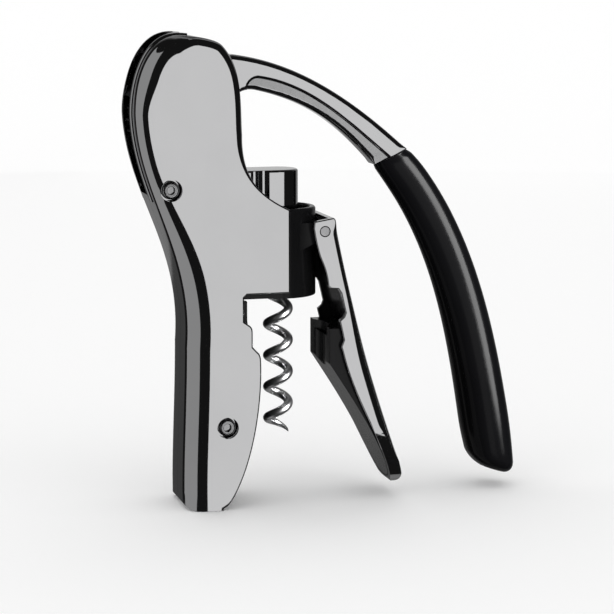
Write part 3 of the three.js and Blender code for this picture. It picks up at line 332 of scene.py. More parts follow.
# Polished plating: almost a mirror, with faint clouding from handling and the finest polishing lines.
chrome = Finish("polished plating", Metallic=1.0)
chrome_cloud = chrome.noise(55, 4)
chrome_lines = chrome.noise(220, 2, place=chrome.stretched((1, 6, 0.4)))
chrome.set(
    Base_Color=chrome.blend(chrome_cloud, (0.5, 0.5, 0.505, 1), (0.56, 0.56, 0.565, 1)),
    Roughness=0.035 + 0.05 * chrome_cloud * chrome_cloud + 0.03 * chrome_lines,
    Normal=chrome.bump(chrome.noise(900, 2) * 0.5 + chrome_lines * 0.5, 0.012, 0.0002),
)


def finished(name, bm, body, slot, material, *nodes, sharp=32, flat_sides=False):
    """Makes the piece in metres, shades it smooth but for its sharp edges, and hands it to its body.

    With flat_sides, the rims of its flat side faces are sharp as well.
    """
    bmesh.ops.scale(bm, vec=(MILLIMETRE,) * 3, verts=bm.verts)
    bm.normal_update()
    for edge in bm.edges:
        rim = flat_sides and sum(abs(face.normal.y) > 0.9999 for face in edge.link_faces) == 1
        edge.smooth = edge.calc_face_angle(0) < math.radians(sharp) and not rim
    piece = placed(name, bm)
    piece.data.materials.append(material)
    for face in piece.data.polygons:
        face.use_smooth = True
        face.material_index = 0
    normals = piece.modifiers.new("even normals", "WEIGHTED_NORMAL")
    normals.keep_sharp = True
    normals.weight = 100
    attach(piece, body)
    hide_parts(*nodes)
    return piece


housing_corners = outline(
    (PLATE_FRONT_X, SHOULDER_Z),
    ((-9.7, 31.2), (HEAD_FRONT_X - 0.4, 36.7), (HEAD_FRONT_X, 48.3)),
    ((HEAD_FRONT_X - 0.5, 56.7), (-12.8, 67.3), (-19, HEAD_TOP_Z - 3)),
    ((-20.6, HEAD_TOP_Z - 1.1), (-27, HEAD_TOP_Z - 0.2), (-31, HEAD_TOP_Z)),
    ((-40.6, HEAD_TOP_Z), (HEAD_BACK_X, 64), (HEAD_BACK_X, 54.3)),
    ((HEAD_BACK_X + 0.9, 30.3), (WAIST_BACK_X + 2.2, 14.4), (WAIST_BACK_X, WAIST_Z)),
    ((WAIST_BACK_X - 0.1, -30), (FOOT_BACK_X, -45), (FOOT_BACK_X, FOOT_Z + 5)),
    ((FOOT_BACK_X, FOOT_Z + 2), (FOOT_BACK_X + 2, FOOT_Z), (FOOT_BACK_X + 5, FOOT_Z)),
    (-21.5, FOOT_Z),
    ((-19.6, FOOT_Z), (-18.6, FOOT_Z + 0.7), (-17.7, FOOT_Z + 2)),
    ((-10.7, -49.6), (NECK_EDGE_X + 0.5, -30.4), (NECK_EDGE_X, NECK_EDGE_Z)),
    ((NECK_EDGE_X, NECK_EDGE_Z + 2.2), (NECK_EDGE_X - 1.2, NECK_EDGE_Z + 3)),
    (COLLAR_RECESS_X, COLLAR_RECESS_FOOT_Z),
    (COLLAR_RECESS_X, COLLAR_RECESS_FOOT_Z + 4.5),
    ((COLLAR_RECESS_X, LIP_RECESS_FOOT_Z - 1.6), (COLLAR_RECESS_X - 1.2, LIP_RECESS_FOOT_Z - 1)),
    (LIP_RECESS_X, LIP_RECESS_FOOT_Z),
    (LIP_RECESS_X, PLATE_LEDGE_Z - 0.9),
    (LIP_RECESS_X + 0.9, PLATE_LEDGE_Z),
    (PLATE_FRONT_X, PLATE_LEDGE_Z),
    (PLATE_FRONT_X, SHOULDER_Z),
)


def housing_rounding(corner):
    x, z = corner
    back = mix(HEAD_BACK_ROUNDING, LOWER_BACK_ROUNDING, 1 - smooth(z, 4, 40))
    back += HEAD_CROWN_ROUNDING * smooth(z, 54, 66)
    front = mix(PLATE_EDGE_ROUNDING, HEAD_FRONT_ROUNDING, smooth(z, 30, 50))
    spine_x = mix(-24, -30, smooth(z, 0, 60))
    rounding = mix(back, front, smooth(x, spine_x - 3, spine_x + 4))
    return mix(PLATE_EDGE_ROUNDING * 2, rounding, smooth(z, FOOT_Z, FOOT_Z + 3))


def housing_hollow(gap=0):
    """The hollow between the shells: walls all round, open forward below the head."""
    walled = inset(housing_corners, lambda corner: SHELL_WALL + gap)
    open_from = next(i for i, p in enumerate(walled) if p.y > HOLLOW_OPEN_Z)
    foot_at = next(i for i, p in enumerate(walled) if p.x > HOLLOW_FOOT_X and p.y < FOOT_Z + 3)
    front = [Vector((HOLLOW_FRONT_X, FOOT_Z + SHELL_WALL)), Vector((HOLLOW_FRONT_X, HOLLOW_OPEN_Z))]

    def rounding(corner):
        walled_rounding = housing_rounding(corner) - SHELL_WALL - gap
        return HOLLOW_EDGE if corner.x > -8 else max(HOLLOW_EDGE, walled_rounding)

    corners = front + walled[open_from:foot_at]
    return rounded_slab(corners, BODY_HALF - SHELL_WALL - gap, rounding, 3)


def housing_slab():
    """The solid shape of both shells. Its turned edges run on below the foot, and are cut off there."""
    run_on = Vector((0, FOOT_RUN_ON))
    lowered = [p - run_on if p.y < FOOT_BEND_Z and p.x < FOOT_BEND_X else p for p in housing_corners]

    def rounding(corner):
        return housing_rounding(corner + run_on if corner.y < FOOT_Z else corner)

    above_foot = outline(
        (BEYOND, FOOT_Z),
        (BEYOND, HEAD_TOP_Z + 23),
        (-BEYOND - 10, HEAD_TOP_Z + 23),
        (-BEYOND - 10, FOOT_Z + FOOT_RUN_ON),
        (FOOT_BACK_X - 0.6, FOOT_Z + 3.6),
        ((FOOT_BACK_X, FOOT_Z + 1.2), (FOOT_BACK_X + 1, FOOT_Z), (FOOT_BACK_X + 3.2, FOOT_Z)),
        (BEYOND, FOOT_Z),
    )
    kept = prism(above_foot, -BODY_HALF - 1, BODY_HALF + 1)
    return carve(rounded_slab(lowered, BODY_HALF, rounding), ("INTERSECT", kept))


def housing_shell():
    lips = carve(
        rounded_slab(
            inset(housing_corners, lambda c: -LIP_HEIGHT), SLOT_HALF + LIP_WIDTH, lambda c: LIP_HEIGHT, 4
        ),
        ("INTERSECT", box(-BEYOND, PIVOT.x + 2, -BODY_HALF, BODY_HALF, SLOT_FOOT_Z - 2, HEAD_TOP_Z + 5)),
    )
    inner = BODY_HALF - SHELL_WALL - 0.8
    far_half = box(-BEYOND, HOLLOW_FRONT_X, -SEAM_HALF_GAP, BODY_HALF + 1, FOOT_Z - 2, HEAD_TOP_Z + 5)
    steps = [
        ("UNION", lips),
        ("DIFFERENCE", housing_hollow()),
        ("DIFFERENCE", far_half),
        ("DIFFERENCE", box(-BEYOND, 5, -SLOT_HALF, SLOT_HALF, SLOT_FOOT_Z, HEAD_TOP_Z + 5)),
        ("UNION", cross_rod(AXLE_BOSS_RADIUS, PIVOT, -AXLE_BOSS_FROM_Y, -inner)),
        ("DIFFERENCE", cross_rod(AXLE_RADIUS + 0.2, PIVOT, 0, -10)),
    ]
    for screw in (UPPER_SCREW, LOWER_SCREW):
        floor = BODY_HALF - COUNTERBORE_DEPTH
        steps += [
            ("UNION", cross_rod(COUNTERBORE_RADIUS + 1, screw, COUNTERBORE_FLOOR - floor, -inner)),
            ("DIFFERENCE", cross_rod(SLEEVE_WAY_RADIUS, screw, 1, -BODY_HALF - 1)),
            ("DIFFERENCE", cross_rod(COUNTERBORE_RADIUS, screw, -floor, -BODY_HALF - 1)),
        ]
    return carve(housing_slab(), *steps)


near_shell = housing_shell()
far_shell = near_shell.copy()
bmesh.ops.scale(far_shell, vec=(1, -1, 1), verts=far_shell.verts)
bmesh.ops.reverse_faces(far_shell, faces=far_shell.faces)
finished("near_shell", near_shell, "body", "chrome", chrome.material, "housing_left")
finished("far_shell", far_shell, "body", "chrome", chrome.material, "housing_right")


# ---------- lever arm ----------
# One casting, plated like the shells: a curved arm with a step let into each side, a forked hub
# that straddles the toothed sector, and a tang that the grip is pushed over.
ARM_HALF = 4.3
ARM_ROUNDING = 1.4
DRUM_RADIUS = 14.2
HUB_CHEEK_RADIUS = 11.4
ARM_STEP_DEPTH = 0.7
ARM_STEP_EDGE = 1.0
ARM_END = (Vector((28.9, 37.9)), Vector((38.6, 42.5)))
SECTOR_SLOT_HALF = 2.8
SECTOR_SLOT_RADIUS = 5.6
BUSH_BORE = 3.9
RIVET_HOLE = 1.4
RIVET_CIRCLE = 8.7
RIVET_ANGLES = (-25, -95, -165)
SECTOR_WAY_REACH = 24
ARM_EDGE = 0.25
GRIP_LINE = [(34.3, 40.2), (57.8, 13.4), (62.1, -23.5), (67.5, -56.7)]
TANG_HALF_DEPTH = 2.3
TANG_HALF_WIDTH = 2.6


def arc(centre, radius, start, end, count):
    """Points along a round stretch, both ends included, with angles in degrees."""
    angles = [math.radians(mix(start, end, i / count)) for i in range(count + 1)]
    return [centre + radius * Vector((math.cos(a), math.sin(a))) for a in angles]


def bezier_point(handles, share):
    points = [Vector(p) for p in handles]
    while len(points) > 1:
        points = [a.lerp(b, share) for a, b in zip(points, points[1:])]
    return points[0]


def tang(grow, from_share, to_share, far_y=TANG_HALF_WIDTH):
    """A bar along the grip's middle line."""
    line = [bezier_point(GRIP_LINE, mix(from_share, to_share, i / 8)) for i in range(9)]
    sides = {-1: [], 1: []}
    for i, p in enumerate(line):
        along = (line[min(i + 1, 8)] - line[max(i - 1, 0)]).normalized()
        for sign, side in sides.items():
            side.append(p + sign * (TANG_HALF_DEPTH + grow) * Vector((-along.y, along.x)))
    return prism(sides[-1] + sides[1][::-1], -TANG_HALF_WIDTH - grow, far_y + grow)


def sunk(corners, floor_y, face_y, rounding, steps=4):
    """A cutter for a step let into a near face, which leaves a rounded edge round it."""
    rings = [[(p.x, floor_y, p.y) for p in corners]]
    for i in range(steps + 1):
        turn = math.pi / 2 * i / steps
        ring = inset(corners, lambda corner: rounding * (math.cos(turn) - 1))
        rings.append([(p.x, face_y - 0.02 + rounding * (1 - math.sin(turn)), p.y) for p in ring])
    rings.append([(p.x, face_y - 2, p.y) for p in ring])
    return loft(rings)


def mirrored(bm):
    """Mirrors a near half, closed on the middle plane, into a whole piece."""
    middle = [f for f in bm.faces if all(abs(v.co.y) < 0.003 for v in f.verts)]
    bmesh.ops.delete(bm, geom=middle, context="FACES")
    bmesh.ops.mirror(bm, geom=[*bm.verts, *bm.edges, *bm.faces], axis="Y", merge_dist=0.005)
    bmesh.ops.dissolve_limit(bm, angle_limit=math.radians(0.3), verts=bm.verts, edges=bm.edges)
    return outward(bm)


def rivet_place(angle):
    return PIVOT + RIVET_CIRCLE * Vector((math.cos(math.radians(angle)), math.sin(math.radians(angle))))


def lever_arm():
    drum_start = arc(PIVOT, DRUM_RADIUS, 27, 27, 1)[0]
    upper = outline(
        tuple(drum_start),
        (-12.2, 60),
        ((-10.4, 61), (-7.6, 60.6)),
        ((9.1, 56.9), (17.6, 50.4), tuple(ARM_END[0])),
        tuple(ARM_END[1]),
        ((23.6, 56), (6.3, 68.6), (-14.3, 71)),
        (-22, 70),
    )
    corners = upper + arc(PIVOT, DRUM_RADIUS, 86, 154, 20) + arc(PIVOT, HUB_CHEEK_RADIUS, 154, 387, 60)

    def rounding(corner):
        from_hub = smooth((corner - PIVOT).length, DRUM_RADIUS + 1, DRUM_RADIUS + 8)
        from_end = smooth(min((corner - end).length for end in ARM_END), 0.3, 2.4)
        return mix(ARM_EDGE, ARM_ROUNDING, from_hub * from_end)

    step = outline(
        (-11, 56),
        (-9.6, 62.2),
        ((-8.6, 63.9), (-6.9, 64)),
        ((9.2, 61.7), (21.3, 49.6), (34.2, 38.8)),
        (30, 30),
        ((17.2, 42), (8.8, 50), (-11, 54)),
    )[::-1]
    sector_way = arc(PIVOT, SECTOR_SLOT_RADIUS, 17, -204, 40) + arc(PIVOT, SECTOR_WAY_REACH, -204, 17, 40)
    lower_band = rounded_slab(inset(corners, lambda c: 0.03), ARM_HALF - ARM_STEP_DEPTH, rounding, 5)
    steps = [
        ("INTERSECT", box(-BEYOND, BEYOND, -ARM_HALF * 2, 0.4, 20, 80)),
        ("DIFFERENCE", sunk(step, 1, -ARM_HALF, ARM_STEP_EDGE)),
        ("UNION", lower_band),
        ("INTERSECT", box(-BEYOND, BEYOND, -ARM_HALF * 2, 0, 20, 80)),
        ("DIFFERENCE", cross_rod(BUSH_BORE, PIVOT, -9, 9)),
    ]
    for angle in RIVET_ANGLES:
        steps.append(("DIFFERENCE", cross_rod(RIVET_HOLE, rivet_place(angle), -9, 9, 24)))
    steps.append(("DIFFERENCE", prism(sector_way, -SECTOR_SLOT_HALF, SECTOR_SLOT_HALF)))
    steps.append(("UNION", tang(0, -0.02, 0.22, 0)))
    return mirrored(carve(rounded_slab(corners, ARM_HALF, rounding, 5), *steps))


# The steps are plated as they left the mould, duller and faintly grained.
dull = Finish("dull plating", Metallic=1.0)
dull_grain = dull.noise(500, 3)
dull.set(
    Base_Color=dull.blend(dull_grain, (0.42, 0.42, 0.425, 1), (0.52, 0.52, 0.525, 1)),
    Roughness=0.17 + 0.1 * dull_grain,
    Normal=dull.bump(dull_grain, 0.05, 0.0002),
)
arm_piece = finished("arm", lever_arm(), "lever", "chrome", chrome.material, "lever_arm", flat_sides=True)
arm_piece.data.materials.append(dull.material)
step_y = (ARM_HALF - ARM_STEP_DEPTH) * MILLIMETRE
for face in arm_piece.data.polygons:
    if abs(face.normal.y) > 0.999 and abs(abs(face.center.y) - step_y) < 0.05 * MILLIMETRE:
        face.material_index = 1


# ---------- grip ----------
# Glossy black moulding, pushed over the arm's tang. It widens from a small collar at its root
# to a blunt, softly rounded end.
GRIP_ROOT_HALF_WIDTH = 4.9
GRIP_END_HALF_WIDTH = 8.5
GRIP_ROOT_HALF_DEPTH = 5.6
GRIP_END_HALF_DEPTH = 7.4
GRIP_ROOT_ACROSS = Vector((0.91, 0.41))
GRIP_END_ACROSS = Vector((0.95, -0.31))
GRIP_SQUARENESS = 0.8
GRIP_SIDES = 48
GRIP_END_FROM = 0.955  # share of the middle line where the end starts to round over
GRIP_END_LENGTH = 0.0485
GRIP_END_SIZE = 0.35
GRIP_COLLAR_SIZE = 0.92

# Gloss moulding compound: deep black with the faint ripple that a polished mould leaves.
gloss = Finish("gloss black moulding", Specular_IOR_Level=0.08)
gloss.set(
    Base_Color=gloss.blend(gloss.noise(40, 3), (0.0015, 0.0015, 0.0018, 1), (0.003, 0.003, 0.0033, 1)),
    Roughness=0.14 + 0.09 * gloss.noise(70, 4),
    Normal=gloss.bump(gloss.noise(160, 2), 0.03, 0.0005),
)


def grip():
    shares = [0, 0.004, 0.012, 0.02, 0.03] + [0.05 + 0.91 * i / 40 for i in range(41)]
    shares += [0.97, 0.98, 0.987, 0.993, 0.997, 1]
    rings = []
    for share in shares:
        centre = bezier_point(GRIP_LINE, share)
        along = (bezier_point(GRIP_LINE, share + 0.01) - bezier_point(GRIP_LINE, share - 0.01)).normalized()
        across = Vector((-along.y, along.x)).lerp(GRIP_ROOT_ACROSS, 1 - smooth(share, 0, 0.12))
        across = across.lerp(GRIP_END_ACROSS, smooth(share, 0.8, 1)).normalized()
        end = math.sqrt(max(0, 1 - max(0, (share - GRIP_END_FROM) / GRIP_END_LENGTH) ** 2))
        start = mix(GRIP_COLLAR_SIZE, 1, smooth(share, 0, 0.02))
        size = start * mix(GRIP_END_SIZE, 1, end) if share > GRIP_END_FROM else start
        half_depth = mix(GRIP_ROOT_HALF_DEPTH, GRIP_END_HALF_DEPTH, math.sqrt(share)) * size
        half_width = mix(GRIP_ROOT_HALF_WIDTH, GRIP_END_HALF_WIDTH, smooth(share, 0, 0.9)) * size
        ring = []
        for i in range(GRIP_SIDES):
            turn = 2 * math.pi * i / GRIP_SIDES
            depth = half_depth * math.copysign(abs(math.cos(turn)) ** GRIP_SQUARENESS, math.cos(turn))
            width = half_width * math.copysign(abs(math.sin(turn)) ** GRIP_SQUARENESS, math.sin(turn))
            ring.append((centre.x + across.x * depth, width, centre.y + across.y * depth))
        rings.append(ring)
    return carve(loft(rings), ("DIFFERENCE", tang(0.3, -0.05, 0.23)))


grip_piece = finished("grip_moulding", grip(), "lever", "gloss_black", gloss.material, "grip", sharp=50)


# ---------- carriage ----------
# A plated block, half round in front of the worm, that the rack is screwed to. Its pocket holds
# the worm's collar, washer and clip, and two shallow flutes run down each of its sides.
CARRIAGE_RADIUS = 6
CARRIAGE_BACK_X = -13.1
CARRIAGE_FOOT_Z = 13.5
CARRIAGE_TOP_Z = 37.3
CARRIAGE_POCKET = (17.5, 22)
CARRIAGE_BEVEL = 0.7
FLUTE_RADIUS = 4
FLUTES = ((-5.6, 1.7), (-8.4, 1.2))


def upright_rod(radius, from_z, to_z, sides=64, place=(0, 0)):
    bm = bmesh.new()
    bmesh.ops.create_cone(
        bm, cap_ends=True, segments=sides, radius1=radius, radius2=radius, depth=to_z - from_z
    )
    bmesh.ops.translate(bm, verts=bm.verts, vec=(*place, (from_z + to_z) / 2))
    return bm


def column(corners, from_z, to_z):
    """A plan view raised from one height to another."""
    return pushed([(p[0], p[1], from_z) for p in corners], (0, 0, to_z - from_z))


def carriage_plan(radius, back_x, count=48):
    front = arc(Vector((0, 0)), radius, -90, 90, count)
    return [Vector((back_x, -radius)), *front, Vector((back_x, radius))]


def carriage_block():
    bm = column(carriage_plan(CARRIAGE_RADIUS, CARRIAGE_BACK_X), CARRIAGE_FOOT_Z, CARRIAGE_TOP_Z)
    rims = [e for e in bm.edges if abs(e.verts[0].co.z - e.verts[1].co.z) < 0.01]
    bmesh.ops.bevel(
        bm, geom=rims, offset=CARRIAGE_BEVEL, offset_type="OFFSET", segments=4, profile=0.5,
        affect="EDGES", material=-1,
    )
    steps = [
        ("DIFFERENCE", column(carriage_plan(4.9, CARRIAGE_BACK_X - 1), *CARRIAGE_POCKET)),
        ("DIFFERENCE", upright_rod(3.1, CARRIAGE_FOOT_Z - 1, 18)),
    ]
    for x, half_width in FLUTES:
        y = CARRIAGE_RADIUS + math.sqrt(FLUTE_RADIUS**2 - half_width**2)
        for side in (-y, y):
            steps.append(("DIFFERENCE", upright_rod(FLUTE_RADIUS, 5, 50, 160, (x, side))))
    return carve(bm, *steps)


finished("carriage_casting", carriage_block(), "carriage", "chrome", chrome.material, "carriage_block")


# ---------- guide frame ----------
# One black moulding in the shells: the tube that sits on the bottle's rim and guides the worm's nut,
# the cheeks that guide the carriage, and two ears for the clamp's pin.
RUNNING_GAP = 0.3
TUBE_RADIUS = 11.2
TUBE_BORE = 9.2
TUBE_TOP_Z = 26.3
TUBE_RIM = 0.9
NUT_TOP_Z = 11
GUIDE_HALF_GAP = CARRIAGE_RADIUS + 0.5
EAR_INNER_Y = 8.6
EAR_OUTER_Y = 10.4
FRAME_HALF = BODY_HALF - SHELL_WALL - RUNNING_GAP
CLAMP_PIN = Vector((11, 19.7))
CLAMP_PIN_BORE = 1.65
EAR_RADIUS = 2.3
SCREW_BOSS_RADIUS = COUNTERBORE_RADIUS + 1
SCREW_BOSS_Y = BODY_HALF - COUNTERBORE_DEPTH - COUNTERBORE_FLOOR

# Satin black moulding compound, with the fine even grain that a spark-eroded mould leaves.
satin = Finish("satin black moulding", Specular_IOR_Level=0.2)
satin_grain = satin.noise(1400, 2)
satin_cloud = satin.noise(60, 3)
satin.set(
    Base_Color=satin.blend(satin_cloud, (0.005, 0.005, 0.0055, 1), (0.009, 0.009, 0.0095, 1)),
    Roughness=0.14 + 0.12 * satin_cloud,
    Normal=satin.bump(satin_grain, 0.03, 0.0002),
)


def turned(profile, sides=96):
    """Spins a closed profile of (radius, height) about the worm's axis."""
    bm = bmesh.new()
    verts = [bm.verts.new((p[0], 0, p[1])) for p in profile]
    edges = [bm.edges.new(pair) for pair in zip(verts, verts[1:] + verts[:1])]
    bmesh.ops.spin(
        bm, geom=verts + edges, axis=(0, 0, 1), cent=(0, 0, 0), angle=2 * math.pi, steps=sides,
        use_merge=True,
    )
    bmesh.ops.remove_doubles(bm, verts=bm.verts, dist=0.0005)
    return outward(bm)


def screw_way(place):
    """What the screws, their sleeves and the shells' screw bosses need."""
    return carve(
        cross_rod(SLEEVE_WAY_RADIUS, place, -BODY_HALF, BODY_HALF),
        ("UNION", cross_rod(SCREW_BOSS_RADIUS + 0.3, place, SCREW_BOSS_Y - 0.3, BODY_HALF + 1)),
        ("UNION", cross_rod(SCREW_BOSS_RADIUS + 0.3, place, 0.3 - SCREW_BOSS_Y, -BODY_HALF - 1)),
    )


def clamp_ear(from_y, to_y):
    corners = [Vector((0, CLAMP_PIN.y - 8)), *arc(CLAMP_PIN, EAR_RADIUS, -52, 90, 24)]
    return prism(corners + [Vector((0, CLAMP_PIN.y + EAR_RADIUS))], from_y, to_y)


def guide_frame():
    tube = turned(outline(
        (TUBE_BORE, 0),
        (TUBE_RADIUS - 0.4, 0),
        ((TUBE_RADIUS, 0), (TUBE_RADIUS, 0.4)),
        (TUBE_RADIUS, TUBE_TOP_Z - TUBE_RIM),
        ((TUBE_RADIUS, TUBE_TOP_Z), (TUBE_RADIUS - TUBE_RIM, TUBE_TOP_Z)),
        ((TUBE_BORE, TUBE_TOP_Z), (TUBE_BORE, TUBE_TOP_Z - TUBE_RIM)),
        (TUBE_BORE, 0),
        spacing=0.2,
    ))
    cheek_view = [
        (-1, 0.3),
        (-26, 0.3),
        (-44, 24),
        (-44, TUBE_TOP_Z + 11.5),
        (-24, TUBE_TOP_Z + 10.5),
        (-14, TUBE_TOP_Z + 4),
        (-1, TUBE_TOP_Z - 2),
    ]
    cheeks = carve(
        housing_hollow(RUNNING_GAP),
        ("INTERSECT", prism(cheek_view, -FRAME_HALF, FRAME_HALF)),
        ("DIFFERENCE", box(-50, 1, -GUIDE_HALF_GAP, GUIDE_HALF_GAP, -1, TUBE_TOP_Z + 20)),
        ("DIFFERENCE", upright_rod(TUBE_RADIUS - 0.6, -1, TUBE_TOP_Z + 20)),
    )
    return carve(
        tube,
        ("DIFFERENCE", box(-20, 0, -GUIDE_HALF_GAP, GUIDE_HALF_GAP, NUT_TOP_Z + 1, TUBE_TOP_Z + 20)),
        ("UNION", cheeks),
        ("UNION", clamp_ear(-EAR_OUTER_Y, -EAR_INNER_Y)),
        ("UNION", clamp_ear(EAR_INNER_Y, EAR_OUTER_Y)),
        ("DIFFERENCE", upright_rod(TUBE_BORE, NUT_TOP_Z + 1, TUBE_TOP_Z + 5, 96)),
        ("DIFFERENCE", screw_way(UPPER_SCREW)),
        ("DIFFERENCE", cross_rod(CLAMP_PIN_BORE, CLAMP_PIN, -BODY_HALF, BODY_HALF)),
    )


finished("guide_moulding", guide_frame(), "body", "black_plastic", satin.material, "guide_frame")


# ---------- neck pad, worm nut and clamp pad ----------
# Black mouldings that are pressed into their places: the pad behind the bottle's neck, the disc with
# the winding way that turns the worm, and the pad inside the clamp. Their edges are just broken.


def eased(node, edge, sharp=30):
    """A merged copy of a solid, with its flat faces joined up and its sharp edges broken."""
    bm = bmesh.new()
    bm.from_mesh(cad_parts[node].data)
    bmesh.ops.scale(bm, vec=(1 / MILLIMETRE,) * 3, verts=bm.verts)
    bmesh.ops.remove_doubles(bm, verts=bm.verts, dist=0.002)
    bmesh.ops.dissolve_limit(bm, angle_limit=math.radians(0.5), verts=bm.verts, edges=bm.edges)
    corners = [e for e in bm.edges if e.is_manifold and e.calc_face_angle(0) > math.radians(sharp)]
    bmesh.ops.bevel(
        bm, geom=corners, offset=edge, offset_type="OFFSET", segments=2, profile=0.5,
        affect="EDGES", clamp_overlap=True, material=-1,
    )
    return bm


finished("neck_moulding", eased("neck_pad", 0.3), "body", "black_plastic", satin.material, "neck_pad")
finished("nut_moulding", eased("worm_nut", 0.2), "body", "black_plastic", satin.material, "worm_nut")
finished("clamp_moulding", eased("clamp_pad", 0.3), "clamp", "black_plastic", satin.material, "clamp_pad")


# ---------- screws, sleeve nuts, axle and pins ----------
# Turned steel: two socket screws with crowned heads, a sleeve nut for each from the far side, the
# lever's axle, the clamp's pin and the sector's rivets, with their ends chamfered or domed.
SCREW_HEAD_RADIUS = 2.6
SCREW_HEAD_HEIGHT = 2
SCREW_HEAD_SUNK = 0.5
SCREW_RADIUS = 1.5
SLEEVE_RADIUS = 2.5
SLEEVE_HEAD_WALL = 5
SOCKET_RADIUS = 1.25
SOCKET_DEPTH = 1.2
AXLE_HALF_LENGTH = 9.7
CLAMP_PIN_RADIUS = 1.45
CLAMP_PIN_HALF_LENGTH = 13.1
RIVET_RADIUS = 1.2

# Turned steel, with fine lines along it and a slight tarnish.
steel = Finish("turned steel", Metallic=1.0)
steel_cloud = steel.noise(120, 4)
steel_lines = steel.noise(500, 2, place=steel.stretched((1, 0.1, 1)))
steel.set(
    Base_Color=steel.blend(steel_cloud, (0.42, 0.42, 0.43, 1), (0.56, 0.56, 0.565, 1)),
    Roughness=0.14 + 0.12 * steel_cloud + 0.06 * steel_lines,
    Normal=steel.bump(steel_lines, 0.05, 0.0001),
)


def across(bm, place, side=-1):
    """Lays a turned piece, made about the upright axis, across the tool with its top to one side."""
    bmesh.ops.rotate(bm, verts=bm.verts, matrix=Matrix.Rotation(-side * math.pi / 2, 3, "X"))
    bmesh.ops.translate(bm, verts=bm.verts, vec=(place[0], 0, place[1]))
    return bm


def pin(radius, half_length, chamfer, crown=0):
    """A round pin about the upright axis, its ends chamfered and perhaps crowned."""
    top = half_length
    profile = outline(
        (0, -top),
        ((radius * 0.6, -top), (radius - chamfer, crown - top)),
        (radius, crown + chamfer - top),
        (radius, top - crown - chamfer),
        (radius - chamfer, top - crown),
        ((radius * 0.6, top), (0, top)),
        spacing=0.2,
    )
    return turned(profile, 48)


def socket_head(face_z, shank_radius, shank_foot_z):
    """A crowned head about the upright axis, with a six-sided socket and its shank below."""
    radius = SCREW_HEAD_RADIUS
    foot_z = face_z - SCREW_HEAD_HEIGHT
    body = turned(outline(
        (0, shank_foot_z),
        (shank_radius - 0.25, shank_foot_z),
        (shank_radius, shank_foot_z + 0.25),
        (shank_radius, foot_z),
        (radius, foot_z),
        (radius, face_z - 0.7),
        ((radius, face_z - 0.1), (radius - 0.75, face_z)),
        (radius - 0.95, face_z),
        (radius - 1.05, face_z - 0.12),
        (0, face_z - 0.12),
        spacing=0.15,
    ), 64)
    socket = upright_rod(SOCKET_RADIUS, face_z - SOCKET_DEPTH, face_z + 1, 6)
    mouth = bmesh.new()
    bmesh.ops.create_cone(
        mouth, cap_ends=True, segments=48, radius1=SOCKET_RADIUS - 0.2, radius2=SOCKET_RADIUS + 0.6,
        depth=0.8,
    )
    bmesh.ops.translate(mouth, verts=mouth.verts, vec=(0, 0, face_z + 0.02))
    return carve(body, ("DIFFERENCE", socket), ("DIFFERENCE", mouth))


def sleeve_nut():
    head = socket_head(BODY_HALF - SCREW_HEAD_SUNK, SLEEVE_RADIUS, 1 - SCREW_BOSS_Y)
    bore = upright_rod(SCREW_RADIUS + 0.2, -BODY_HALF, BODY_HALF - SLEEVE_HEAD_WALL, 48)
    return carve(head, ("DIFFERENCE", bore))


for name, place in (("upper", UPPER_SCREW), ("lower", LOWER_SCREW)):
    screw = socket_head(BODY_HALF - SCREW_HEAD_SUNK, SCREW_RADIUS, SLEEVE_HEAD_WALL + 1 - BODY_HALF)
    finished(f"{name}_socket_screw", across(screw, place), "body", "steel", steel.material, f"{name}_screw")
    finished(
        f"{name}_sleeve", across(sleeve_nut(), place, 1), "body", "steel", steel.material,
        f"{name}_sleeve_nut",
    )
axle = across(pin(AXLE_RADIUS, AXLE_HALF_LENGTH, 0.3), PIVOT)
finished("axle", axle, "body", "steel", steel.material, "lever_axle")
clamp_pin = across(pin(CLAMP_PIN_RADIUS, CLAMP_PIN_HALF_LENGTH, 0.12, 0.02), CLAMP_PIN)
finished("clamp_hinge_pin", clamp_pin, "body", "steel", steel.material, "clamp_pin")
for i, angle in enumerate(RIVET_ANGLES):
    rivet = across(pin(RIVET_RADIUS, ARM_HALF, 0.1, 0.25), rivet_place(angle))
    finished(f"rivet_{i + 1}", rivet, "lever", "steel", steel.material, f"sector_rivet_{i + 1}")


# ---------- gear sector, rack and their screws ----------
# Case-hardened steel, blackened: the toothed sector that is riveted into the lever's hub, and the
# rack that it lifts, held to the carriage by two small screws.

# Blackening: an uneven dark grey over fine grinding lines.
blackened = Finish("blackened steel", Metallic=1.0)
blackened_cloud = blackened.noise(90, 4)
blackened_lines = blackened.noise(300, 3, place=blackened.stretched((0.3, 6, 0.3)))
blackened.set(
    Base_Color=blackened.blend(blackened_cloud, (0.018, 0.018, 0.02, 1), (0.055, 0.055, 0.058, 1)),
    Roughness=0.3 + 0.2 * blackened_lines,
    Normal=blackened.bump(blackened_lines, 0.15, 0.0001),
)
finished(
    "sector_plate", eased("gear_sector", 0.1, 20), "lever", "dark_steel", blackened.material, "gear_sector"
)
finished("rack_bar", eased("rack", 0.12, 20), "carriage", "dark_steel", blackened.material, "rack")
for i in (1, 2):
    finished(
        f"rack_fixing_{i}", eased(f"rack_screw_{i}", 0.15), "carriage", "steel", steel.material,
        f"rack_screw_{i}",
    )


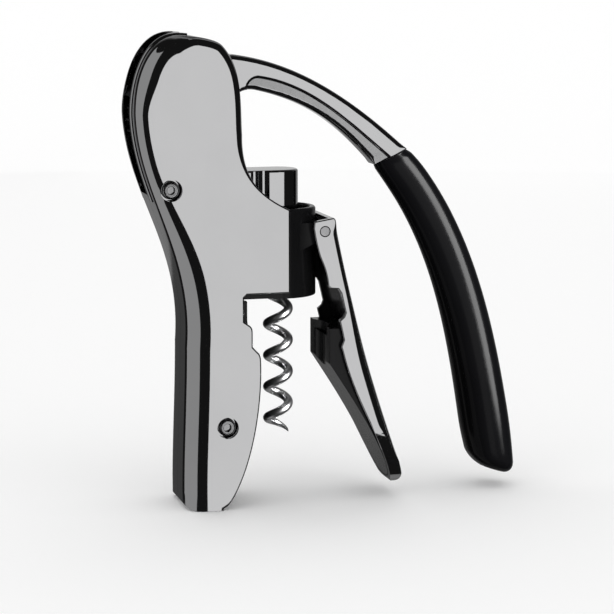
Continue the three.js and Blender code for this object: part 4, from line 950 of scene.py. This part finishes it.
# ---------- axle bushes and thrust washer ----------
# White acetal: a flanged bush on each side of the lever's hub, and the washer that the worm's clip
# bears on.
acetal = Finish("white acetal", Subsurface_Weight=0.05)
acetal_cloud = acetal.noise(70, 3)
acetal.set(
    Base_Color=acetal.blend(acetal_cloud, (0.66, 0.65, 0.61, 1), (0.74, 0.73, 0.7, 1)),
    Roughness=0.36 + 0.14 * acetal_cloud,
    Normal=acetal.bump(acetal.noise(700, 2), 0.06, 0.0002),
)
for side in ("left", "right"):
    finished(
        f"{side}_bush", eased(f"axle_bush_{side}", 0.12), "lever", "white_plastic", acetal.material,
        f"axle_bush_{side}",
    )
finished(
    "washer", eased("thrust_washer", 0.12), "carriage", "white_plastic", acetal.material, "thrust_washer"
)


# ---------- worm and retaining clip ----------
# Drawn steel wire, wound to a right-handed screw and ground to a point, with a collar and a grooved
# shank above it. The clip in the groove lets it turn in the carriage.
WORM_OUTER_RADIUS = 4.5
WORM_WIRE_RADIUS = 1.35
WORM_LEAD = 9.5
WORM_TIP_Z = -42
WORM_POINT_HEIGHT = 3.6
WORM_POINT_SHARE = 0.06  # of the wire's radius, at the very tip
WORM_RINGS_PER_TURN = 40
WORM_SIDES = 20
COLLAR_TOP_Z = CARRIAGE_FOOT_Z - RUNNING_GAP
COLLAR_FOOT_Z = COLLAR_TOP_Z - 1.6
SHANK_RADIUS = 2.9
SHANK_TOP_Z = 21.8
GROOVE_RADIUS = 2.2
GROOVE_Z = (18.95, 20.15)

# Bright drawn wire, faintly mottled, with a fine even grain.
wire = Finish("bright drawn wire", Metallic=1.0)
wire_cloud = wire.noise(150, 4)
wire.set(
    Base_Color=wire.blend(wire_cloud, (0.6, 0.6, 0.61, 1), (0.72, 0.72, 0.725, 1)),
    Roughness=0.24 + 0.14 * wire_cloud,
    Normal=wire.bump(wire.noise(600, 3), 0.04, 0.0002),
)


def worm():
    helix_radius = WORM_OUTER_RADIUS - WORM_WIRE_RADIUS
    top_z = COLLAR_TOP_Z - WORM_WIRE_RADIUS - RUNNING_GAP
    steps = round((top_z - WORM_TIP_Z) / WORM_LEAD * WORM_RINGS_PER_TURN)
    rings = []
    for i in range(steps + 1):
        z = mix(WORM_TIP_Z, top_z, i / steps)
        turn = 2 * math.pi * (z - WORM_TIP_Z) / WORM_LEAD
        out = Vector((math.cos(turn), math.sin(turn), 0))
        along = Vector((-out.y, out.x, WORM_LEAD / (2 * math.pi * helix_radius))).normalized()
        ground = min(1, (z - WORM_TIP_Z) / WORM_POINT_HEIGHT) ** 0.7
        radius = WORM_WIRE_RADIUS * mix(WORM_POINT_SHARE, 1, ground)
        centre = helix_radius * out + Vector((0, 0, z))
        angles = [2 * math.pi * k / WORM_SIDES for k in range(WORM_SIDES)]
        rings.append([centre + radius * (math.cos(a) * out + math.sin(a) * along.cross(out)) for a in angles])
    spindle = turned(outline(
        (0, COLLAR_FOOT_Z),
        (WORM_OUTER_RADIUS - 0.5, COLLAR_FOOT_Z),
        (WORM_OUTER_RADIUS - 0.1, COLLAR_FOOT_Z + 0.4),
        (WORM_OUTER_RADIUS - 0.1, COLLAR_TOP_Z - 0.3),
        (WORM_OUTER_RADIUS - 0.4, COLLAR_TOP_Z),
        (SHANK_RADIUS, COLLAR_TOP_Z),
        (SHANK_RADIUS, GROOVE_Z[0]),
        (GROOVE_RADIUS, GROOVE_Z[0]),
        (GROOVE_RADIUS, GROOVE_Z[1]),
        (SHANK_RADIUS, GROOVE_Z[1]),
        (SHANK_RADIUS, SHANK_TOP_Z - 0.4),
        (SHANK_RADIUS - 0.4, SHANK_TOP_Z),
        (0, SHANK_TOP_Z),
    ), 64)
    return carve(loft(rings), ("UNION", spindle))


worm_piece = finished("wire_worm", worm(), "worm_spindle", "steel", wire.material, "worm", sharp=40)
finished("clip", eased("retaining_clip", 0.1), "carriage", "steel", steel.material, "retaining_clip")


# ---------- clamp lever ----------
# A plated channel that hangs from its pin: two side flanges with notches for the bottle's lip,
# joined by a rounded front wall that closes to a broad tip. The inside of the channel is black.
CLAMP_HALF = 13.1
CLAMP_WALL = 1.6
CLAMP_FRONT_WALL = 1.9
CLAMP_ROUNDING = 3
CLAMP_TOP_ROUNDING = 1.7
CLAMP_EDGE = 0.35
CLAMP_INNER_HALF = CLAMP_HALF - CLAMP_WALL
CLAMP_TIP_Z = -58.8
CLAMP_TOP_Z = 23.6
CLAMP_BACK_X = 7.6
CLAMP_TAPER_Z = -38
LIP_NOTCH = Vector((17.3, 2.6))
LIP_NOTCH_FOOT_Z = -6.9
COLLAR_NOTCH = Vector((16.8, -12.7))
CLAMP_FRONT_LINE = [Vector((36.2, -55)), Vector((25.7, -26)), Vector((19, -1.5)), Vector((14.4, 22.2))]


def clamp_corners():
    low, low_handle, high_handle, high = CLAMP_FRONT_LINE
    notch_x, notch_top = LIP_NOTCH
    collar_x, collar_z = COLLAR_NOTCH
    return outline(
        (high.x - 0.8, CLAMP_TOP_Z),
        (CLAMP_BACK_X + 0.2, CLAMP_TOP_Z - 1),
        (CLAMP_BACK_X, CLAMP_TOP_Z - 3),
        ((CLAMP_PIN.x - 2.4, 14), (CLAMP_PIN.x - 0.9, 10.8)),
        ((notch_x - 5.7, 7.5), (notch_x - 5.3, notch_top + 1)),
        (notch_x - 4.5, notch_top + 0.2),
        (notch_x - 2.2, notch_top),
        (notch_x - 1.4, notch_top - 1.3),
        (notch_x, LIP_NOTCH_FOOT_Z + 2.3),
        (notch_x - 0.5, LIP_NOTCH_FOOT_Z + 1),
        (notch_x - 1.8, LIP_NOTCH_FOOT_Z),
        (collar_x - 0.9, LIP_NOTCH_FOOT_Z - 1.7),
        (collar_x, collar_z),
        (collar_x - 0.8, collar_z - 2),
        (collar_x - 0.3, collar_z - 3.6),
        ((19.9, -30.4), (27.9, -42.3), (low.x - 2.9, low.y - 2)),
        ((low.x - 2, CLAMP_TIP_Z), (low.x - 0.9, CLAMP_TIP_Z + 0.2)),
        ((low.x + 0.6, CLAMP_TIP_Z + 1.2), tuple(low)),
        (tuple(low_handle), tuple(high_handle), tuple(high)),
        ((high.x - 0.2, CLAMP_TOP_Z - 0.1), (high.x - 0.8, CLAMP_TOP_Z)),
    )


def clamp_front(margin):
    """The clamp seen from the front, pushed back through the tool."""
    half = CLAMP_HALF - margin
    tip = CLAMP_TIP_Z + margin
    corners = outline(
        (-half, CLAMP_TOP_Z + 6),
        (-half, CLAMP_TAPER_Z),
        ((-half, CLAMP_TAPER_Z - 14), (-half * 0.6, tip), (0, tip)),
        ((half * 0.6, tip), (half, CLAMP_TAPER_Z - 14), (half, CLAMP_TAPER_Z)),
        (half, CLAMP_TOP_Z + 6),
    )
    return pushed([(-5, p[0], p[1]) for p in corners], (65, 0, 0))


def clamp_channel():
    low, low_handle, high_handle, high = (p - Vector((CLAMP_FRONT_WALL, 0)) for p in CLAMP_FRONT_LINE)
    corners = outline(
        (-4, CLAMP_TOP_Z + 6),
        (-4, CLAMP_TIP_Z - 4),
        (low.x - 0.4, CLAMP_TIP_Z - 4),
        tuple(low),
        (tuple(low_handle), tuple(high_handle), tuple(high)),
        (high.x - 0.4, CLAMP_TOP_Z + 6),
    )
    channel = prism(corners, -CLAMP_INNER_HALF, CLAMP_INNER_HALF)
    return carve(channel, ("INTERSECT", clamp_front(CLAMP_WALL)))


def clamp_lever():
    front_line = [bezier_point(CLAMP_FRONT_LINE, i / 60) for i in range(61)]

    def rounding(corner):
        x, z = corner
        front_x = min(front_line, key=lambda p: abs(p.y - z)).x
        front = smooth(x - front_x, -3.2, -1.2) * smooth(z, CLAMP_TIP_Z + 1, CLAMP_TIP_Z + 12)
        full = mix(CLAMP_ROUNDING, CLAMP_TOP_ROUNDING, smooth(z, COLLAR_NOTCH.y - 10, LIP_NOTCH.y))
        return mix(CLAMP_EDGE, full, front * (1 - smooth(z, CLAMP_TOP_Z - 4.6, CLAMP_TOP_Z - 1)))

    ear_way = cross_rod(EAR_RADIUS + RUNNING_GAP, CLAMP_PIN, -CLAMP_INNER_HALF, CLAMP_INNER_HALF)
    return carve(
        rounded_slab(clamp_corners(), CLAMP_HALF, rounding),
        ("INTERSECT", clamp_front(0)),
        ("DIFFERENCE", clamp_channel()),
        ("DIFFERENCE", ear_way),
        ("DIFFERENCE", cross_rod(CLAMP_PIN_BORE, CLAMP_PIN, -14, 14)),
    )


clamp_piece = finished("clamp_channel", clamp_lever(), "clamp", "chrome", chrome.material, "clamp_lever")
clamp_piece.data.materials.append(satin.material)
for face in clamp_piece.data.polygons:
    inside = abs(face.center.y) < (CLAMP_INNER_HALF + 0.05) * MILLIMETRE
    if inside and (face.normal.x < -0.5 or abs(face.normal.y) > 0.9):
        face.material_index = 1


# ---------- floor and light ----------
# A pale floor in an even white room. Dark and grey cards stand round the tool, with one white gap
# for its near side, and only its reflections see them. One soft lamp lights the grip and the worm.
FLOOR_SIZE = 40
FLOOR_GAP = 0.1
CARD_DISTANCE = 1.0
CARD_STEP = 5
DARK = 0.012
LAMP_TURN = math.radians(-42)
LAMP_DISTANCE = 0.9
LAMP_RISE = 0.2


def grey(level):
    return (level, level, level, 1)


ground = bmesh.new()
bmesh.ops.create_grid(ground, x_segments=1, y_segments=1, size=FLOOR_SIZE)
bmesh.ops.translate(ground, verts=ground.verts, vec=(0, 0, (FOOT_Z - FLOOR_GAP) * MILLIMETRE))
floor = placed("floor", ground)
floor.data.materials.append(Finish("pale floor", Base_Color=grey(1), Roughness=0.9).material)
floor.visible_glossy = False

world = bpy.data.worlds.new("room")
bpy.context.scene.world = world
world.use_nodes = True
sky = world.node_tree.nodes["Background"]
sky.inputs["Color"].default_value = grey(1)
sky.inputs["Strength"].default_value = 1.0


def card(name, from_turn, to_turn, from_rise, to_rise, level):
    """A curved card round the tool. Turns go from the near side towards the back, in degrees."""
    bm = bmesh.new()
    rises = max(2, round((to_rise - from_rise) / CARD_STEP))
    side = arc(Vector((0, 0)), CARD_DISTANCE, from_rise, to_rise, rises)
    verts = [bm.verts.new((0, -p.x, p.y)) for p in side]
    edges = [bm.edges.new(pair) for pair in zip(verts, verts[1:])]
    bmesh.ops.spin(
        bm, geom=[*verts, *edges], axis=(0, 0, -1), cent=(0, 0, 0), angle=math.radians(to_turn - from_turn),
        steps=max(2, round((to_turn - from_turn) / CARD_STEP)),
    )
    bmesh.ops.rotate(bm, verts=bm.verts, matrix=Matrix.Rotation(-math.radians(from_turn), 3, "Z"))
    made = placed(name, bm)
    paint = Finish(
        name, Base_Color=grey(0), Roughness=1.0, Specular_IOR_Level=0.0, Emission_Color=grey(level),
        Emission_Strength=1.0,
    )
    made.data.materials.append(paint.material)
    made.visible_camera = False
    made.visible_diffuse = False
    made.visible_shadow = False
    made.visible_transmission = False


for name, from_turn, to_turn, from_rise, to_rise, level in (
    ("flag_back", -6, 47, -88, 88, DARK),
    ("flag_side", 47, 132, -88, 46, 0.42),
    ("flag_side_over", 47, 132, 46, 88, DARK),
    ("flag_far", 132, 160, -88, 88, DARK),
    ("flag_far_edge", 160, 172, -88, 88, 0.06),
    ("flag_beyond", 172, 186, -88, 88, 0.22),
    ("window_beyond", 186, 212, -12, 24, 0.6),
    ("flag_over_beyond", 186, 212, 24, 88, 0.1),
    ("flag_under_beyond", 186, 212, -88, -12, 0.2),
    ("flag_front", -116, -23, -88, 88, DARK),
    ("flag_ahead", -148, -116, -88, 88, 0.25),
    ("flag_over", -23, -6, 4, 88, DARK),
    ("flag_under", -23, -6, -88, -21, DARK),
):
    card(name, from_turn, to_turn, from_rise, to_rise, level)

grip_lamp = bpy.data.objects.new("grip_lamp", bpy.data.lights.new("grip_lamp", "AREA"))
grip_lamp.data.shape = "RECTANGLE"
grip_lamp.data.size = 0.42
grip_lamp.data.size_y = 0.75
grip_lamp.data.energy = 30
grip_lamp.location = (-LAMP_DISTANCE * math.sin(LAMP_TURN), -LAMP_DISTANCE * math.cos(LAMP_TURN), LAMP_RISE)
grip_lamp.rotation_euler = (-grip_lamp.location).to_track_quat("-Z", "Y").to_euler()
bpy.context.scene.collection.objects.link(grip_lamp)
lit_by_lamp = bpy.data.collections.new("lit_by_grip_lamp")
lit_by_lamp.objects.link(grip_piece)
lit_by_lamp.objects.link(worm_piece)
grip_lamp.light_linking.receiver_collection = lit_by_lamp
